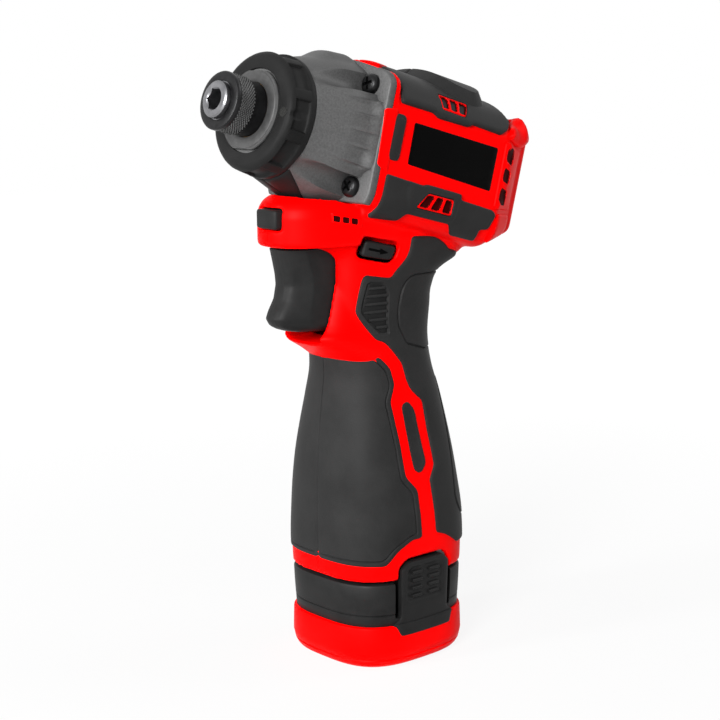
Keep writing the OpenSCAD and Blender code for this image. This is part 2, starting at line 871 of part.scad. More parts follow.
// Steel ring in front of the case, with two flats
module nose_ring() {
    flat = nose_ring_r - over;
    color("dimgray") on_axis() difference() {
        union() {
            rod(case_front + seat, case_front + nose_ring_t - seat, nose_ring_r - over);
            rod(case_front + seat, case_front + nose_ring_t / 2, nose_ring_r);
        }
        rod(case_front - over, bumper_front + nose_ring_t, nose_hole_r);
        for (s = [-1, 1]) translate([case_front + nose_ring_t / 2, 0, s * (flat + nose_ring_r / 2 - seat)])
            cube([nose_ring_t * 2, nose_ring_r * 2, nose_ring_r], center = true);
    }
}

// Cross recess in a screw head that faces along X
module cross_recess(x, r) {
    for (a = [0, 90]) rotate([a, 0, 0])
        translate([x, 0, 0]) cube([screw_head_h, r * cross_reach_share, r * cross_share], center = true);
}
// Four screws that hold the gear case
module case_screws() {
    screw_front = case_back + ear_l;
    color("black") on_axis() for (y = [-ear_y, ear_y], z = [-ear_z, ear_z])
        translate([0, y, z]) difference() {
            union() {
                rod(case_screw_back, screw_front + over / 2, screw_r);
                rod(screw_front + run, screw_front + screw_head_h, screw_head_r);
            }
            cross_recess(screw_front + screw_head_h, screw_head_r);
        }
}

// Screws that join the two shells, driven from the right
module housing_screws() {
    color("black") at_shell_screws() {
        translate([0, 0, -shell_screw_half + seat])
            cylinder(h = 2 * shell_screw_half - shell_screw_sink, r = shell_screw_r);
        translate([0, 0, shell_screw_half - shell_screw_sink + seat]) difference() {
            cylinder(h = screw_head_h, r = shell_screw_head_r);
            for (a = [0, 90]) rotate([0, 0, a]) translate([0, 0, screw_head_h])
                cube([shell_screw_head_r * cross_reach_share, shell_screw_head_r * cross_share, screw_head_h],
                    center = true);
        }
    }
}

// Work light under the gear case
module work_light_lens() {
    color("black") span([chin_x - light_l, -light_half_w, light_z],
        [chin_x + light_out, light_half_w, light_z + light_h]);
}

// Board behind the work light
module work_light_board() {
    color("darkgreen") span([chin_x - light_l - over + seat, -light_half_w + over, light_z + seat],
        [chin_x - light_l - seat, light_half_w - over, light_z + light_h - seat]);
}

// Windows of the charge gauge
module gauge_lenses() {
    color("maroon") for (i = [0 : gauge_n - 1])
        translate([gauge_x + i * gauge_pitch, gauge_y + seat, gauge_z])
            cube([gauge_l, gauge_reach - i * gauge_step - gauge_y, gauge_h]);
}
module gauge_board() {
    color("darkgreen") span([gauge_x - over / 2, gauge_y - gauge_board_t, gauge_z - over / 2],
        [gauge_x + gauge_n * gauge_pitch - over / 2, gauge_y - seat, gauge_z + gauge_h + over / 2]);
}

// Laminated stator with inward teeth
module stator_core() {
    color("silver") on_axis() difference() {
        rod(stator_back, stator_front, stator_r);
        rod(stator_back - over, stator_front + over, rotor_r + bore_gap);
        intersection() {
            rod(stator_back - over, stator_front + over, stator_r - back_iron);
            around(slot_n, 180 / slot_n) span([stator_back - 2 * over, -slot_half, rotor_r / 2],
                [stator_front + 2 * over, slot_half, stator_r]);
        }
    }
}

// Copper coils, one in each slot
module stator_windings() {
    coil_in = rotor_r + bore_gap + clear;
    coil_out = stator_r - back_iron - seat;
    color("peru") on_axis() around(slot_n, 180 / slot_n) intersection() {
        tube(stator_back - winding_over, stator_front + winding_over, coil_out, coil_in);
        span([stator_back - winding_over - over, -coil_half, coil_in / 2],
            [stator_front + winding_over + over, coil_half, stator_r]);
    }
}
module rotor_core() {
    color("dimgray") on_axis() tube(stator_back + over, stator_front - over, rotor_r, shaft_r);
}

// Involute of the pressure angle at a radius, degrees
function tooth_lean(rb, r) = let (a = acos(min(1, rb / r))) tan(a) * 180 / PI - a;
// Outline of a spur gear: teeth, root and tip radii and the half tooth angle at the pitch circle
function gear_outline(n, root, tip, half) = let (
        rp = gear_module * n / 2,
        rb = rp * cos(pressure_angle),
        steps = 5,
        radii = [for (i = [0 : steps]) root + (tip - root) * i / steps],
        angles = [for (r = radii) half + tooth_lean(rb, rp) - tooth_lean(rb, max(r, rb))])
    [for (t = [0 : n - 1]) for (k = [0 : 2 * steps + 1])
        let (up = k <= steps, i = up ? k : 2 * steps + 1 - k,
            a = t * 360 / n + (up ? -angles[i] : angles[i]))
        radii[i] * [cos(a), sin(a)]];
// Half tooth angle with a backlash
function half_tooth(n, slack) = 90 / n - slack / (gear_module * n) * 180 / PI / 2;

// Spur gear along the local X axis
module spur(x0, x1, n, turn) {
    rp = gear_module * n / 2;
    translate([x0, 0, 0]) rotate([90, 0, 90]) rotate([0, 0, turn]) linear_extrude(x1 - x0)
        polygon(gear_outline(n, rp - gear_module * dedendum_share, rp + gear_module * addendum_share,
            half_tooth(n, backlash)));
}

// Motor shaft with the sun pinion cut on its end
module rotor_shaft() {
    color("lightgray") on_axis() {
        rod(rear_brg_front - motor_brg_w, plate_front, shaft_r);
        spur(plate_front - over, planet_front, sun_teeth, 0);
    }
}

// Cooling fan on the motor shaft
module fan() {
    color("black") on_axis() {
        tube(fan_back, fan_front, fan_hub_r, shaft_r);
        tube(fan_back, fan_back + blade_t, fan_r, fan_hub_r - over);
        around(blade_n) span([fan_back + blade_t / 2, -blade_t / 2, fan_hub_r - over / 2],
            [fan_front, blade_t / 2, fan_r - over / 2]);
    }
}

// Ball bearing as one ring with grooved faces
module bearing(x0, w, r_out, r_in) {
    groove = (r_out - r_in) / 4;
    difference() {
        tube(x0, x0 + w, r_out, r_in);
        for (x = [x0 - over, x0 + w - end_gap])
            tube(x, x + over + end_gap, r_out - groove, r_in + groove);
    }
}

module rear_motor_bearing() {
    color("silver") on_axis() bearing(rear_brg_front - motor_brg_w, motor_brg_w, rear_brg_r, shaft_r + run);
}
module front_motor_bearing() {
    color("silver") on_axis() bearing(plate_back, motor_brg_w, motor_brg_r, shaft_r + run);
}
module spindle_bearing() {
    color("silver") on_axis() bearing(plate_front - spindle_brg_w, spindle_brg_w, spindle_brg_r, boss_r + run);
}

// Sensor board behind the stator
module motor_board() {
    color("darkgreen") on_axis() tube(board_front - board_t, board_front, stator_r, cavity_r - lobe_r + over);
}

// Plate that closes the gear case and holds both bearings
module motor_plate() {
    color("gray") on_axis() difference() {
        rod(plate_back, plate_front, fan_bay_r - clear);
        rod(plate_back - over, plate_back + motor_brg_w + run, motor_brg_r + run);
        rod(plate_front - spindle_brg_w - run, plate_front + over, spindle_brg_r + run);
        rod(plate_back, plate_front, pinion_hole_r);
    }
}

// Fixed ring gear
module ring_gear() {
    rp = gear_module * ring_teeth / 2;
    color("silver") on_axis() difference() {
        rod(plate_front + seat, carrier_back - seat, ring_r);
        translate([plate_front - over, 0, 0]) rotate([90, 0, 90]) rotate([0, 0, 180 / ring_teeth])
            linear_extrude(carrier_back - plate_front + 2 * over)
                polygon(gear_outline(ring_teeth, rp - gear_module * addendum_share,
                    rp + gear_module * dedendum_share, half_tooth(ring_teeth, -backlash)));
    }
}

// Planet gear at one side of the sun
module planet(side, turn) {
    translate([0, side * gear_centre, 0]) difference() {
        spur(planet_back, planet_front, planet_teeth, turn);
        rod(planet_back - over, planet_front + over, planet_pin_r + run);
    }
}
module planet_gear_a() { color("silver") on_axis() planet(1, 180 / planet_teeth); }
module planet_gear_b() { color("silver") on_axis() planet(-1, 0); }

module planet_pins() {
    color("lightgray") on_axis() for (s = [-1, 1])
        translate([0, s * gear_centre, 0]) rod(cage_back + seat, carrier_front - seat, planet_pin_r);
}

// Spindle with the planet cage, its bearing boss and the pilot that centres the anvil
module spindle() {
    color("lightgray") on_axis() difference() {
        union() {
            rod(plate_front - spindle_brg_w + seat, cage_back + cage_t, boss_r);
            rod(cage_back, cage_back + cage_t, carrier_r);
            rod(carrier_back, carrier_front, carrier_r);
            for (s = [0, 180]) rotate([s, 0, 0])
                span([cage_back + cage_t / 2, -cage_t, boss_r + cage_t],
                    [carrier_back + carrier_t / 2, cage_t, carrier_r - end_gap]);
            rod(carrier_back, hammer_front, spindle_r);
            rod(hammer_front - over, wing_back + pilot_l - seat, pilot_r);
        }
        rod(plate_back, carrier_back - seat + end_gap, pinion_hole_r);
        for (s = [-1, 1]) {
            translate([0, s * gear_centre, 0]) rod(cage_back - over, carrier_front + over, planet_pin_r + run);
            translate([cam_x, 0, s * spindle_r]) sphere(r = cam_ball_r + seat);
        }
    }
}

// Points of a coil along the local X axis
function coil_point(x0, x1, r, turns, t) =
    [x0 + (x1 - x0) * t, r * cos(360 * turns * t), r * sin(360 * turns * t)];

// Round wire wound as a coil, closed at both ends
module coil(x0, x1, r, wire, turns) {
    sides = 6;
    rings = turns * 14;
    points = [for (k = [0 : rings]) let (t = k / rings, p = coil_point(x0 + wire, x1 - wire, r, turns, t))
        for (i = [0 : sides - 1]) let (a = i * 360 / sides, out = wire * cos(a), turn = 360 * turns * t)
            p + [wire * sin(a), out * cos(turn), out * sin(turn)]];
    skin = [for (k = [0 : rings - 1]) for (i = [0 : sides - 1]) for (f = [0, 1])
        let (j = (i + 1) % sides, a = k * sides, b = a + sides)
        f == 0 ? [a + i, a + j, b + j] : [a + i, b + j, b + i]];
    ends = [[for (i = [0 : sides - 1]) sides - 1 - i], [for (i = [0 : sides - 1]) rings * sides + i]];
    polyhedron(points, concat(skin, ends));
}

module impact_spring() {
    color("silver") on_axis() coil(spring_back, spring_front, spring_r, spring_wire_r, spring_turns);
}

// Sector used for the hammer dogs and the anvil wings
module sector(x0, x1, r_in, r_out, first, angle) {
    intersection() {
        tube(x0, x1, r_out, r_in);
        rotate([first, 0, 0]) translate([x0, 0, 0]) rotate([90, 0, 90]) linear_extrude(x1 - x0)
            polygon([[0, 0], 2 * r_out * [cos(-angle / 2), sin(-angle / 2)],
                2 * r_out * [cos(angle / 2), sin(angle / 2)]]);
    }
}

// Hammer with two dogs, a spring pocket and cam grooves
module hammer() {
    color("dimgray") on_axis() difference() {
        union() {
            rod(hammer_back, hammer_front, hammer_r);
            for (s = [0, 180]) sector(hammer_front - over, wing_front, dog_in_r, dog_r, s, dog_angle);
        }
        rod(hammer_back - over, wing_front + over, spindle_r + run);
        tube(hammer_back - over, hammer_back + spring_pocket, spring_out_r, spring_in_r);
        for (s = [-1, 1]) translate([0, 0, s * spindle_r])
            rod(cam_x - cam_ball_r - seat, wing_front, cam_ball_r + seat);
    }
}

module cam_balls() {
    color("lightgray") on_axis() for (s = [-1, 1])
        translate([cam_x, 0, s * spindle_r]) sphere(r = cam_ball_r);
}

// Anvil with two wings, a journal and the hexagonal bit socket
module anvil() {
    color("lightgray") on_axis() difference() {
        union() {
            rod(wing_back, wing_front, dog_in_r - clear);
            for (s = [90, 270]) sector(wing_back, wing_front, journal_r - over, dog_r - clear, s, dog_angle);
            rod(wing_front - over, case_front + bumper_lip, journal_r);
            rod(case_front, anvil_tip - over / 2, anvil_r);
            cone(anvil_tip - over / 2, anvil_tip, anvil_r, anvil_r - over / 2);
        }
        rod(wing_back - over, wing_back + pilot_l, pilot_r + run);
        translate([anvil_tip - hex_depth, 0, 0]) rotate([90, 0, 90]) linear_extrude(hex_depth + over)
            circle(r = hex_af / sqrt(3), $fn = 6);
        cone(anvil_tip - over / 2, anvil_tip + seat, hex_af / 2, hex_af / sqrt(3) + seat);
        tube(clip_front - clip_t - run, clip_front + run, anvil_r + over, anvil_r - clip_depth);
        for (s = [-1, 1]) translate([ball_x, 0, 0]) rotate([s * 90, 0, 0])
            cylinder(h = anvil_r + over, r = ball_r + run);
    }
}

module anvil_bush() {
    color("goldenrod") on_axis() tube(wall_back + seat, case_front, bush_r, journal_r + run);
}

module thrust_washer() {
    color("silver") on_axis() tube(washer_back, washer_back + washer_t, dog_r - over, journal_r + clear);
}

// Knurled sleeve that frees the bit when it is pulled forward
module bit_sleeve() {
    color("black") on_axis() difference() {
        union() {
            rod(sleeve_back, knurl_back + over, neck_r);
            rod(knurl_back, sleeve_front - over, sleeve_r);
            cone(sleeve_front - over, sleeve_front, sleeve_r, sleeve_r - over);
        }
        rod(sleeve_back - over, sleeve_front + over, anvil_r + run);
        rod(sleeve_seat, sleeve_front + over, recess_r);
        rod(sleeve_back - over, sleeve_back + relief_l, relief_r);
        around(knurl_n) translate([0, sleeve_r, 0]) rod(knurl_back - over, sleeve_front - over, knurl_r);
    }
}

module sleeve_spring() {
    color("silver") on_axis() coil(sleeve_seat + seat, clip_front - clip_t - seat, (anvil_r + recess_r) / 2,
        (recess_r - anvil_r) / 4, 3);
}

module sleeve_clip() {
    color("silver") on_axis() tube(clip_front - clip_t, clip_front, clip_r, anvil_r - clip_depth + run);
}

module detent_balls() {
    color("silver") on_axis() for (s = [-1, 1])
        translate([ball_x, s * (anvil_r - ball_r), 0]) sphere(r = ball_r);
}

// Side outline of the trigger with its finger hollow
module trigger_side() {
    difference() {
        translate([trigger_back, trigger_z]) square([trigger_l, trigger_top - trigger_z]);
        translate([chin_x + finger_r - finger_depth, (trigger_z + trigger_top) / 2]) circle(r = finger_r);
        translate([chin_x, trigger_z - trigger_round / 2]) rotate([0, 0, 45])
            square([trigger_round * 2, trigger_round * 2], center = true);
    }
}

module trigger() {
    color("dimgray") difference() {
        intersection() {
            rotate([90, 0, 0]) linear_extrude(2 * trigger_half_w, center = true) trigger_side();
            translate([0, 0, trigger_z]) linear_extrude(trigger_top - trigger_z)
                plan(trigger_back - trigger_l / 2, chin_x, trigger_half_w, trigger_power);
        }
        translate([trigger_back - over, 0, plunger_z]) rotate([0, 90, 0])
            cylinder(h = plunger_in + over, r = plunger_r + run);
    }
}

module switch_plunger() {
    color("black") translate([switch_front - plunger_in, 0, plunger_z]) rotate([0, 90, 0])
        cylinder(h = trigger_back + plunger_in - switch_front + plunger_in - seat, r = plunger_r);
}

module switch_module() {
    color("darkslategray") difference() {
        span([switch_front - switch_l, -switch_half_w, switch_z],
            [switch_front, switch_half_w, switch_z + switch_h]);
        translate([switch_front - plunger_bore, 0, plunger_z]) rotate([0, 90, 0])
            cylinder(h = plunger_bore + over, r = plunger_r + run);
    }
}

// Direction bar with a pad at each side
module direction_selector() {
    color("dimgray") translate([selector_x, 0, selector_z]) rotate([0, selector_slant, 0]) {
        for (s = [-1, 1]) translate([0, s * (selector_y - selector_pad / 2), 0])
            cube([selector_l, selector_pad, selector_h], center = true);
        translate([selector_bar_x, 0, 0])
            cube([selector_bar_l, 2 * selector_y - selector_pad, selector_bar_h], center = true);
    }
}

// Motor control board in the neck, behind the switch
module controller_board() {
    board_x = switch_front - switch_l - board_t;
    color("darkgreen") span([board_x - seat, -switch_half_w, switch_z - rib_t],
        [board_x + board_t - seat, switch_half_w, switch_z + switch_h]);
}

// Contact block that meets the battery's stem
module terminal_block() {
    color("black") span([-stem_x + over, -stem_y + over, stem_top + end_gap],
        [stem_x - over, stem_y - over, switch_z - rib_t - end_gap]);
}

// Places a child at each battery cell
module at_cells() {
    for (i = [0 : 2]) rotate([0, 0, i * 120]) translate([cell_spread, 0, 0]) children();
}

// Battery case: base band, cell tower and contact stem
module battery_shell() {
    color("dimgray") difference() {
        union() {
            handle_form(cap_h + seat, band_z - seat, 0);
            at_cells() cylinder(h = tower_top, r = tower_r);
            cylinder(h = tower_top, r = cell_spread);
            span([-stem_x, -stem_y, tower_top - over], [stem_x, stem_y, stem_top]);
        }
        at_cells() translate([0, 0, -over]) cylinder(h = tower_top - tower_wall + over, r = cell_r + seat);
        cylinder(h = cap_h + seat, r = base_l);
        for (s = [-1, 1]) latch_pocket(s);
        for (x = [-1, 1], y = [-1, 1])
            translate([x * base_l / 2 * battery_screw_shares[0], y * base_w / 2 * battery_screw_shares[1], 0])
                cylinder(h = band_z - tower_wall, r = shell_screw_r);
    }
}

// Room for a latch and its inward swing
module latch_pocket(side) {
    depth = latch_t + latch_room;
    span([-latch_half - latch_gap, side > 0 ? base_w / 2 - depth : -base_w, latch_z - latch_gap],
        [latch_half + latch_gap, side > 0 ? base_w : -base_w / 2 + depth, latch_top + latch_gap]);
}

// Lower cap of the battery
module battery_cap() {
    color("red") difference() {
        handle_form(0, cap_h, 0);
        at_cells() translate([0, 0, cell_z - seat]) cylinder(h = cap_h, r = cell_r + seat);
        for (s = [-1, 1]) latch_pocket(s);
        for (x = [-1, 1], y = [-1, 1])
            translate([x * base_l / 2 * battery_screw_shares[0], y * base_w / 2 * battery_screw_shares[1], 0]) {
                translate([0, 0, -over]) cylinder(h = cap_h + 2 * over, r = shell_screw_r + seat);
                translate([0, 0, -over]) cylinder(h = shell_screw_sink + over, r = shell_screw_head_r + seat);
            }
    }
}

module cells() {
    color("steelblue") at_cells() translate([0, 0, cell_z]) cylinder(h = cell_l, r = cell_r);
}

// Metal contacts in the sides of the stem
module battery_contacts() {
    color("gold") for (x = [-1, 1])
        translate([x * stem_x / 2, 0, stem_top + end_gap / 2])
            cube([blade_t, stem_y, end_gap - seat], center = true);
}

// Screws that hold the battery cap
module battery_screws() {
    color("black") for (x = [-1, 1], y = [-1, 1])
        translate([x * base_l / 2 * battery_screw_shares[0], y * base_w / 2 * battery_screw_shares[1], 0])
            difference() {
                union() {
                    translate([0, 0, over])
                        cylinder(h = shell_screw_sink - over - run, r = shell_screw_head_r);
                    translate([0, 0, over])
                        cylinder(h = band_z - tower_wall - over - over, r = shell_screw_r - run);
                }
                for (a = [0, 90]) rotate([0, 0, a])
                    cube([shell_screw_head_r * cross_reach_share, shell_screw_head_r * cross_share,
                        shell_screw_sink + over / 4], center = true);
            }
}

// Spring latch that follows the handle's side
module latch(side) {
    intersection() {
        difference() {
            handle_form(latch_z, latch_top, 0);
            handle_form(latch_z - over, latch_top + over, latch_t);
        }
        span([-latch_half, side > 0 ? 0 : -base_w, latch_z], [latch_half, side > 0 ? base_w : 0, latch_top]);
    }
}
module latch_left() { color("dimgray") latch(1); }
module latch_right() { color("dimgray") latch(-1); }

housing_left();
housing_right();
front_grip_left();
front_grip_right();
rear_grip_left();
rear_grip_right();
head_bands_left();
head_bands_right();
side_pads();
name_plates();
gear_case();
nose_bumper();
nose_ring();
case_screws();
housing_screws();
work_light_lens();
work_light_board();
ring_light_lenses();
gauge_lenses();
gauge_board();
stator_core();
stator_windings();
rotor_core();
rotor_shaft();
fan();
rear_motor_bearing();
front_motor_bearing();
motor_board();
motor_plate();
spindle_bearing();
ring_gear();
planet_gear_a();
planet_gear_b();
planet_pins();
spindle();
impact_spring();
hammer();
cam_balls();
anvil();
anvil_bush();
thrust_washer();
bit_sleeve();
sleeve_spring();
sleeve_clip();
detent_balls();
trigger();
switch_plunger();
switch_module();
direction_selector();
controller_board();
terminal_block();
battery_shell();
battery_cap();
cells();
battery_contacts();
battery_screws();
latch_left();
latch_right();
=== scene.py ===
import json
import math

import bmesh
import bpy
import numpy as np
from mathutils import Matrix, Vector
from mathutils.geometry import delaunay_2d_cdt


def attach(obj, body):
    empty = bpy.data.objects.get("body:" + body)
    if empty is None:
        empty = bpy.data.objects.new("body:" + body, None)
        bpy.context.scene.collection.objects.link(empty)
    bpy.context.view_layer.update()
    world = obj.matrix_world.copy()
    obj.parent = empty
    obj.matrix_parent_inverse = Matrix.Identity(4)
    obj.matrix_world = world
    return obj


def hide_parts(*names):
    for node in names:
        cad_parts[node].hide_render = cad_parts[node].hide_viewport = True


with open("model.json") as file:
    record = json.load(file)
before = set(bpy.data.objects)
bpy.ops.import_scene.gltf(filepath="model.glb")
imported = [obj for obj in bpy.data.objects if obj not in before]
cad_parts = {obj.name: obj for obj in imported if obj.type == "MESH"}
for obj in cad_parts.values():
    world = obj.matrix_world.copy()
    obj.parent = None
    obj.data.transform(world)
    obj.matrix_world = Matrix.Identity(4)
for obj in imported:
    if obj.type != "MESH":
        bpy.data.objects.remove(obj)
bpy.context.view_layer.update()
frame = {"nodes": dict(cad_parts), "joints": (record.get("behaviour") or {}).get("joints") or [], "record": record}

# Everything is drawn in millimetres and turned to metres when a mesh is made
mm = 0.001
spin = next(j for j in frame["joints"] if j["name"] == "rotor_spin")
axisStart = np.array(spin["pos_m"]) / mm
axisAlong = np.array(spin["axis"])
axisSide = np.array([0.0, 1.0, 0.0])
axisUp = np.cross(axisAlong, axisSide)


def onAxis(s, y, h):
    # a place along the drive axis, to its left and above it
    s, y, h = np.broadcast_arrays(s, y, h)
    return axisStart + s[..., None] * axisAlong + y[..., None] * axisSide + h[..., None] * axisUp


# finishes


def hexColour(text):
    parts = [int(text[i:i + 2], 16) / 255 for i in (1, 3, 5)]
    return [p / 12.92 if p <= 0.04045 else ((p + 0.055) / 1.055) ** 2.4 for p in parts] + [1.0]


def addNode(tree, kind, values=None, links=None, **settings):
    made = tree.nodes.new(kind)
    for key, value in settings.items():
        setattr(made, key, value)
    for key, value in (values or {}).items():
        made.inputs[key].default_value = value
    for key, source in (links or {}).items():
        tree.links.new(source, made.inputs[key])
    return made


# share of the noise over which a finish changes, and the height of its grain for the size
mottleBand = (0.3, 0.7)
grainDepth = 0.25


def makeFinish(name, light, dark, mottleMm, rough, grainMm, bump, metal=0.0, ior=None, specular=0.5, coat=0.0,
               clear=0.0, stretch=(1, 1, 1)):
    # colour mottle and surface grain on object coordinates, both sized in millimetres
    material = bpy.data.materials.new(name)
    material.use_nodes = True
    tree = material.node_tree
    shader = tree.nodes["Principled BSDF"]
    spot = addNode(tree, "ShaderNodeTexCoord").outputs["Object"]
    mottle = addNode(tree, "ShaderNodeTexNoise",
                     {"Scale": 1 / (mottleMm * mm), "Detail": 4.0, "Roughness": 0.6},
                     {"Vector": spot}).outputs["Fac"]
    ramp = addNode(tree, "ShaderNodeValToRGB", links={"Fac": mottle})
    for stop, at, colour in zip(ramp.color_ramp.elements, mottleBand, (dark, light)):
        stop.position, stop.color = at, hexColour(colour)
    tree.links.new(ramp.outputs["Color"], shader.inputs["Base Color"])
    gloss = addNode(tree, "ShaderNodeMapRange", {"From Min": mottleBand[0], "From Max": mottleBand[1],
                                                 "To Min": rough[0], "To Max": rough[1]}, {"Value": mottle})
    tree.links.new(gloss.outputs["Result"], shader.inputs["Roughness"])
    drawn = addNode(tree, "ShaderNodeMapping", {"Scale": stretch}, {"Vector": spot}).outputs["Vector"]
    grain = addNode(tree, "ShaderNodeTexNoise", {"Scale": 1 / (grainMm * mm), "Detail": 2.0},
                    {"Vector": drawn})
    relief = addNode(tree, "ShaderNodeBump", {"Strength": bump, "Distance": grainMm * mm * grainDepth},
                     {"Height": grain.outputs["Fac"]})
    tree.links.new(relief.outputs["Normal"], shader.inputs["Normal"])
    values = {"Metallic": metal, "IOR": ior, "Specular IOR Level": specular, "Coat Weight": coat,
              "Transmission Weight": clear}
    for key, value in values.items():
        if value is not None:
            shader.inputs[key].default_value = value
    return material


finish = {
    # injection-moulded ABS, polished mould: strong even red with a soft gloss
    "red_shell": makeFinish("polishedRedAbs", "#FF0000", "#F40000", 30, (0.38, 0.46), 0.5, 0.03,
        ior=1.53, specular=0.03),
    # thermoplastic rubber overmould: dark grey, dull, with a fine spark-eroded grain
    "soft_grip": makeFinish("gripRubber", "#282828", "#202020", 14, (0.46, 0.56), 0.45, 0.4, ior=1.5,
        specular=0.07),
    # moulded nitrile bumper: near black with a satin skin
    "nose_rubber": makeFinish("bumperRubber", "#1E1E1E", "#171717", 10, (0.4, 0.52), 0.4, 0.2, ior=1.52,
        specular=0.05),
    # glass-filled nylon: black, satin, faintly speckled
    "black_plastic": makeFinish("blackNylon", "#1D1D1D", "#161616", 6, (0.42, 0.54), 0.4, 0.3, ior=1.53,
        specular=0.1),
    # screen-printed polycarbonate plate: plain deep black, smooth
    "plate_black": makeFinish("blackPolycarbonate", "#040404", "#020202", 20, (0.22, 0.3), 0.4, 0.02,
        ior=1.58, specular=0.02),
    # die-cast aluminium under a grey coat: speckled, half metal in the light
    "case_alloy": makeFinish("castAluminium", "#5C5C5C", "#4A4A4A", 0.6, (0.44, 0.58), 0.5, 0.35,
        metal=0.3, specular=0.1),
    # phosphated steel: even dark grey with a dull shine
    "ring_steel": makeFinish("phosphatedSteel", "#4C4C4C", "#404040", 2, (0.42, 0.54), 0.4, 0.12,
        metal=0.35, specular=0.15),
    # black oxide on steel: nearly black, with metal glints
    "black_steel": makeFinish("blackOxideSteel", "#1E1E1F", "#151516", 2, (0.3, 0.42), 0.3, 0.1, metal=0.7),
    # ground tool steel: bright, with fine turning marks
    "bright_steel": makeFinish("groundSteel", "#868688", "#747477", 3, (0.32, 0.42), 0.3, 0.08,
        metal=1.0, stretch=(6, 1, 1)),
    # drawn spring wire: grey steel with lengthwise drawing lines
    "spring_steel": makeFinish("springWire", "#A5A5A8", "#8B8B8F", 2, (0.28, 0.38), 0.3, 0.1, metal=1.0),
    # stacked electrical sheet: fine layer lines along the axis
    "lamination": makeFinish("stackedSheet", "#8D8D90", "#6F6F73", 0.6, (0.35, 0.5), 0.6, 0.3, metal=1.0,
        stretch=(4, 0.2, 0.2)),
    # enamelled copper wire: warm brown metal under a clear coat
    "copper": makeFinish("enamelledCopper", "#C8743C", "#A85A2A", 1, (0.25, 0.35), 0.6, 0.4, metal=1.0,
        coat=0.4),
    # sintered bronze: porous and dull gold
    "bronze": makeFinish("sinteredBronze", "#B58A4A", "#94703A", 0.6, (0.4, 0.5), 0.3, 0.3, metal=1.0),
    # solder resist over glass laminate: green with a weave under it
    "board_green": makeFinish("solderResist", "#1B6B3A", "#145230", 1.5, (0.3, 0.4), 0.7, 0.15, ior=1.55),
    # moulded polycarbonate over an unlit lamp: smoky grey
    "lens_clear": makeFinish("clearPolycarbonate", "#3E3E3D", "#343433", 8, (0.08, 0.14), 0.6, 0.03,
        ior=1.58, clear=0.5),
    # tinted acrylic windows: very dark red
    "lens_dark": makeFinish("tintedAcrylic", "#2A0303", "#1A0000", 6, (0.2, 0.28), 0.5, 0.03, ior=1.49),
    # printed shrink sleeve on a cell: smooth blue film
    "cell_wrap": makeFinish("shrinkSleeve", "#2E6CA8", "#255A90", 12, (0.25, 0.35), 0.8, 0.05, ior=1.5),
    # gold-plated brass contact
    "contact_brass": makeFinish("platedBrass", "#D8B45A", "#C09A44", 2, (0.2, 0.3), 0.3, 0.05, metal=1.0),
}
# painted shade inside the vent openings: dark red, as the shell's inside would look through them in shade; the
# charge gauge's windows take the same dark red
ventShade = makeFinish("shadedNylon", "#3A0505", "#240202", 5, (0.6, 0.7), 0.4, 0.1, specular=0.03)
for part in frame["record"]["subparts"]:
    node = frame["nodes"][part["node"]]
    node.data.materials.clear()
    node.data.materials.append(finish[part["material_slot"]])
print("finishes made:", len(finish))


# mesh helpers


def addObject(name, data):
    made = bpy.data.objects.new(name, data)
    bpy.context.scene.collection.objects.link(made)
    return made


def makeMesh(name, verts, faces):
    mesh = bpy.data.meshes.new(name)
    places = [tuple(v) for v in np.asarray(verts, float) * mm]
    mesh.from_pydata(places, [], [tuple(int(i) for i in f) for f in faces])
    mesh.validate()
    return addObject(name, mesh)


def settleMesh(piece, merge=0.0005, angle=38):
    # closes doubles, turns faces outwards, and shades smooth between sharp edges
    work = bmesh.new()
    work.from_mesh(piece.data)
    bmesh.ops.remove_doubles(work, verts=work.verts, dist=merge * mm)
    bmesh.ops.recalc_face_normals(work, faces=work.faces)
    for face in work.faces:
        face.smooth = True
    work.to_mesh(piece.data)
    work.free()
    piece.data.set_sharp_from_angle(angle=math.radians(angle))


def evaluated(piece):
    # the finished mesh of a piece, with its modifiers taken in
    bpy.context.view_layer.update()
    graph = bpy.context.evaluated_depsgraph_get()
    made = piece.evaluated_get(graph)
    mesh = bpy.data.meshes.new_from_object(made, preserve_all_data_layers=True, depsgraph=graph)
    piece.modifiers.clear()
    old = piece.data
    piece.data = mesh
    mesh.name = piece.name
    bpy.data.meshes.remove(old)


def combine(piece, other, operation):
    change = piece.modifiers.new("combine", "BOOLEAN")
    change.operation = operation
    change.solver = "MANIFOLD"
    change.object = other
    evaluated(piece)
    bpy.data.objects.remove(other)


def bevelPiece(piece, width, segments=3, angle=35):
    edge = piece.modifiers.new("edge", "BEVEL")
    edge.width = width * mm
    edge.segments = segments
    edge.limit_method = "ANGLE"
    edge.angle_limit = math.radians(angle)
    evaluated(piece)


def place(piece, slots, body, nodes=(), angle=38):
    # gives a piece its finish, its body and the solids that it stands for
    settleMesh(piece, angle=angle)
    slots = [slots] if isinstance(slots, str) else slots
    piece.data.materials.clear()
    for slot in slots:
        piece.data.materials.append(ventShade if slot == "shade" else finish[slot])
    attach(piece, body)
    if nodes:
        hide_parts(*nodes)
    return piece


def loft(rings, endless=False):
    # skin over rings of points, with flat ends unless the last ring meets the first
    n, count = len(rings[0]), len(rings)
    faces = []
    for k in range(count if endless else count - 1):
        here, there = k * n, (k + 1) % count * n
        faces += [(here + i, here + (i + 1) % n, there + (i + 1) % n, there + i) for i in range(n)]
    if not endless:
        faces += [tuple(range(n))[::-1], tuple(range((count - 1) * n, count * n))]
    return np.concatenate(rings), faces


